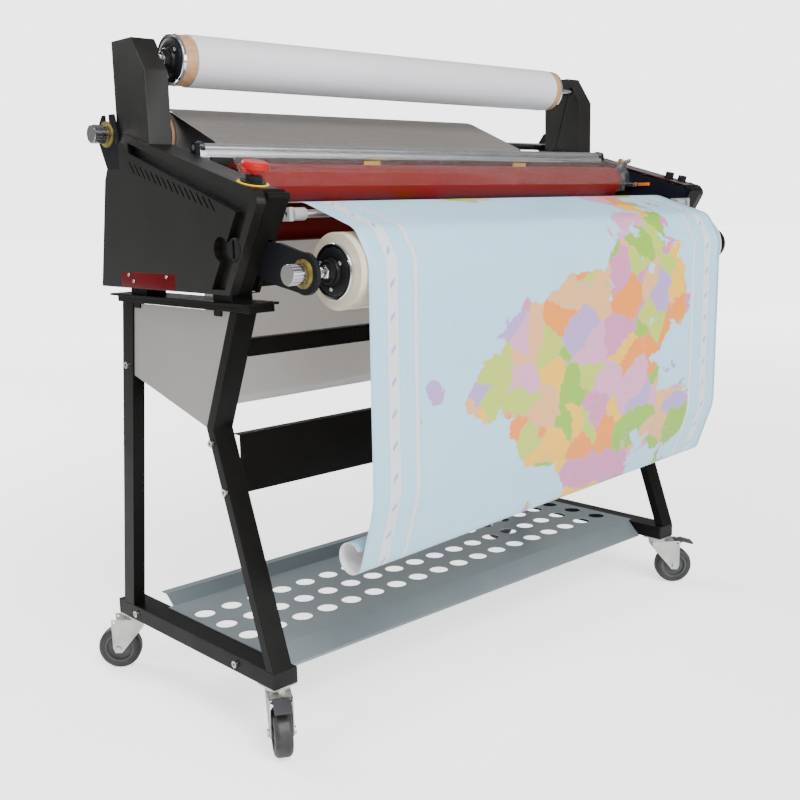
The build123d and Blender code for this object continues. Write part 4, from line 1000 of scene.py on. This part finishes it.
class Stage(bpy.types.Operator):
    """Sets up the floor, the lights and the camera"""

    bl_idname = "laminator.stage"
    bl_label = "Stage"

    sky_light = 0.38
    backdrop = 3.6
    floor_glow = (1.4, 3.4)
    floor_spill = 0.08

    def execute(self, context):
        self.floor()
        self.lights(context)
        self.camera(context)
        return {"FINISHED"}

    def floor(self):
        """A wide pale floor."""
        shape = bmesh.new()
        bmesh.ops.create_grid(shape, x_segments=1, y_segments=1, size=30)
        mesh = bpy.data.meshes.new("studio_floor")
        shape.to_mesh(mesh)
        shape.free()
        plane = bpy.data.objects.new("studio_floor", mesh)
        plane.location.z = -0.0002
        bpy.context.scene.collection.objects.link(plane)
        finish = Finish("studio floor", (0.90, 0.90, 0.90), 0.7, Emission_Strength=0.85)
        finish.shader.inputs["Emission Color"].default_value = (1, 1, 1, 1)
        reach = finish.vector("LENGTH", finish.place)
        glow = finish.span(reach, 1.0, 6.0, *self.floor_glow)
        seen = finish.node("ShaderNodeLightPath").outputs["Is Camera Ray"]
        glow = finish.math("MULTIPLY", glow, finish.span(seen, 0.0, 1.0, self.floor_spill, 1.0))
        finish.link(glow, finish.shader.inputs["Emission Strength"])
        mesh.materials.append(finish.mottle(0.5, 0.01).done())

    def lights(self, context):
        """Soft light from above left, a fill from the right and an even sky."""
        world = bpy.data.worlds.new("studio") if context.scene.world is None else context.scene.world
        context.scene.world = world
        world.use_nodes = True
        tree = world.node_tree
        sky = tree.nodes["Background"]
        sky.inputs[0].default_value = (1, 1, 1, 1)
        seen = tree.nodes.new("ShaderNodeLightPath").outputs["Is Camera Ray"]
        strength = tree.nodes.new("ShaderNodeMapRange")
        strength.inputs["To Min"].default_value = self.sky_light
        strength.inputs["To Max"].default_value = self.backdrop
        tree.links.new(seen, strength.inputs["Value"])
        tree.links.new(strength.outputs[0], sky.inputs[1])
        aim = Vector((0, 0, 0.7))
        for name, place, size, power in (
            ("key", (-1.2, -3.4, 3.6), 3.0, 340.0),
            ("fill", (1.2, -4.4, 1.6), 2.6, 80.0),
            ("side", (-3.6, 0.4, 2.6), 2.4, 45.0),
            ("rim", (-0.8, 3.2, 3.0), 2.4, 170.0),
        ):
            lamp = bpy.data.lights.new(name, "AREA")
            lamp.shape = "DISK"
            lamp.size = size
            lamp.energy = power
            light = bpy.data.objects.new(name, lamp)
            light.location = place
            light.rotation_euler = (aim - Vector(place)).to_track_quat("-Z", "Y").to_euler()
            context.scene.collection.objects.link(light)

    def camera(self, context):
        """A camera at standing height, ahead of the left-hand cabinet."""
        yaw, pitch, roll = -0.7433, -0.1790, 0.0236
        ahead = Vector((-math.sin(yaw) * math.cos(pitch), math.cos(yaw) * math.cos(pitch), math.sin(pitch)))
        right = Vector((math.cos(yaw), math.sin(yaw), 0))
        down = ahead.cross(right)
        right, down = right * math.cos(roll) + down * math.sin(roll), down * math.cos(roll) - right * math.sin(roll)
        lens = bpy.data.cameras.new("view")
        lens.lens = 48.6
        lens.sensor_width = 36.0
        lens.shift_x = 0.0076
        lens.shift_y = 0.0011
        eye = bpy.data.objects.new("view", lens)
        turn = Matrix((right, -down, -ahead)).transposed().to_4x4()
        front_y = nip_place()[0] - NIP_SETBACK
        eye.matrix_world = Matrix.Translation((-1.6026, front_y - 1.4072, 0.9208)) @ turn
        context.scene.collection.objects.link(eye)
        context.scene.camera = eye


STEPS = (
    StandFinishes,
    CabinetFinishes,
    RollerFinishes,
    ShieldFinishes,
    FilmRolls,
    CasterFinishes,
    Controls,
    FilmWebs,
    Stage,
)


class LaminatorPanel(bpy.types.Panel):
    """Lists the steps that build the laminator's looks"""

    bl_label = "Cold roll laminator"
    bl_idname = "VIEW3D_PT_laminator"
    bl_space_type = "VIEW_3D"
    bl_region_type = "UI"
    bl_category = "Laminator"

    def draw(self, context):
        for step in STEPS:
            self.layout.operator(step.bl_idname)
        for group in (context.scene.laminator_colours, context.scene.laminator_sizes):
            for key in group.__annotations__:
                self.layout.prop(group, key)


CLASSES = (LaminatorColours, LaminatorSizes, *STEPS, LaminatorPanel)


def register():
    """Registers the classes and their settings."""
    for item in CLASSES:
        bpy.utils.register_class(item)
    bpy.types.Scene.laminator_colours = bpy.props.PointerProperty(type=LaminatorColours)
    bpy.types.Scene.laminator_sizes = bpy.props.PointerProperty(type=LaminatorSizes)


def unregister():
    """Removes the settings and the classes."""
    del bpy.types.Scene.laminator_sizes
    del bpy.types.Scene.laminator_colours
    for item in reversed(CLASSES):
        bpy.utils.unregister_class(item)


def main():
    """Runs every step."""
    register()
    for step in STEPS:
        family, name = step.bl_idname.split(".")
        getattr(getattr(bpy.ops, family), name)()


if __name__ == "__main__":
    main()
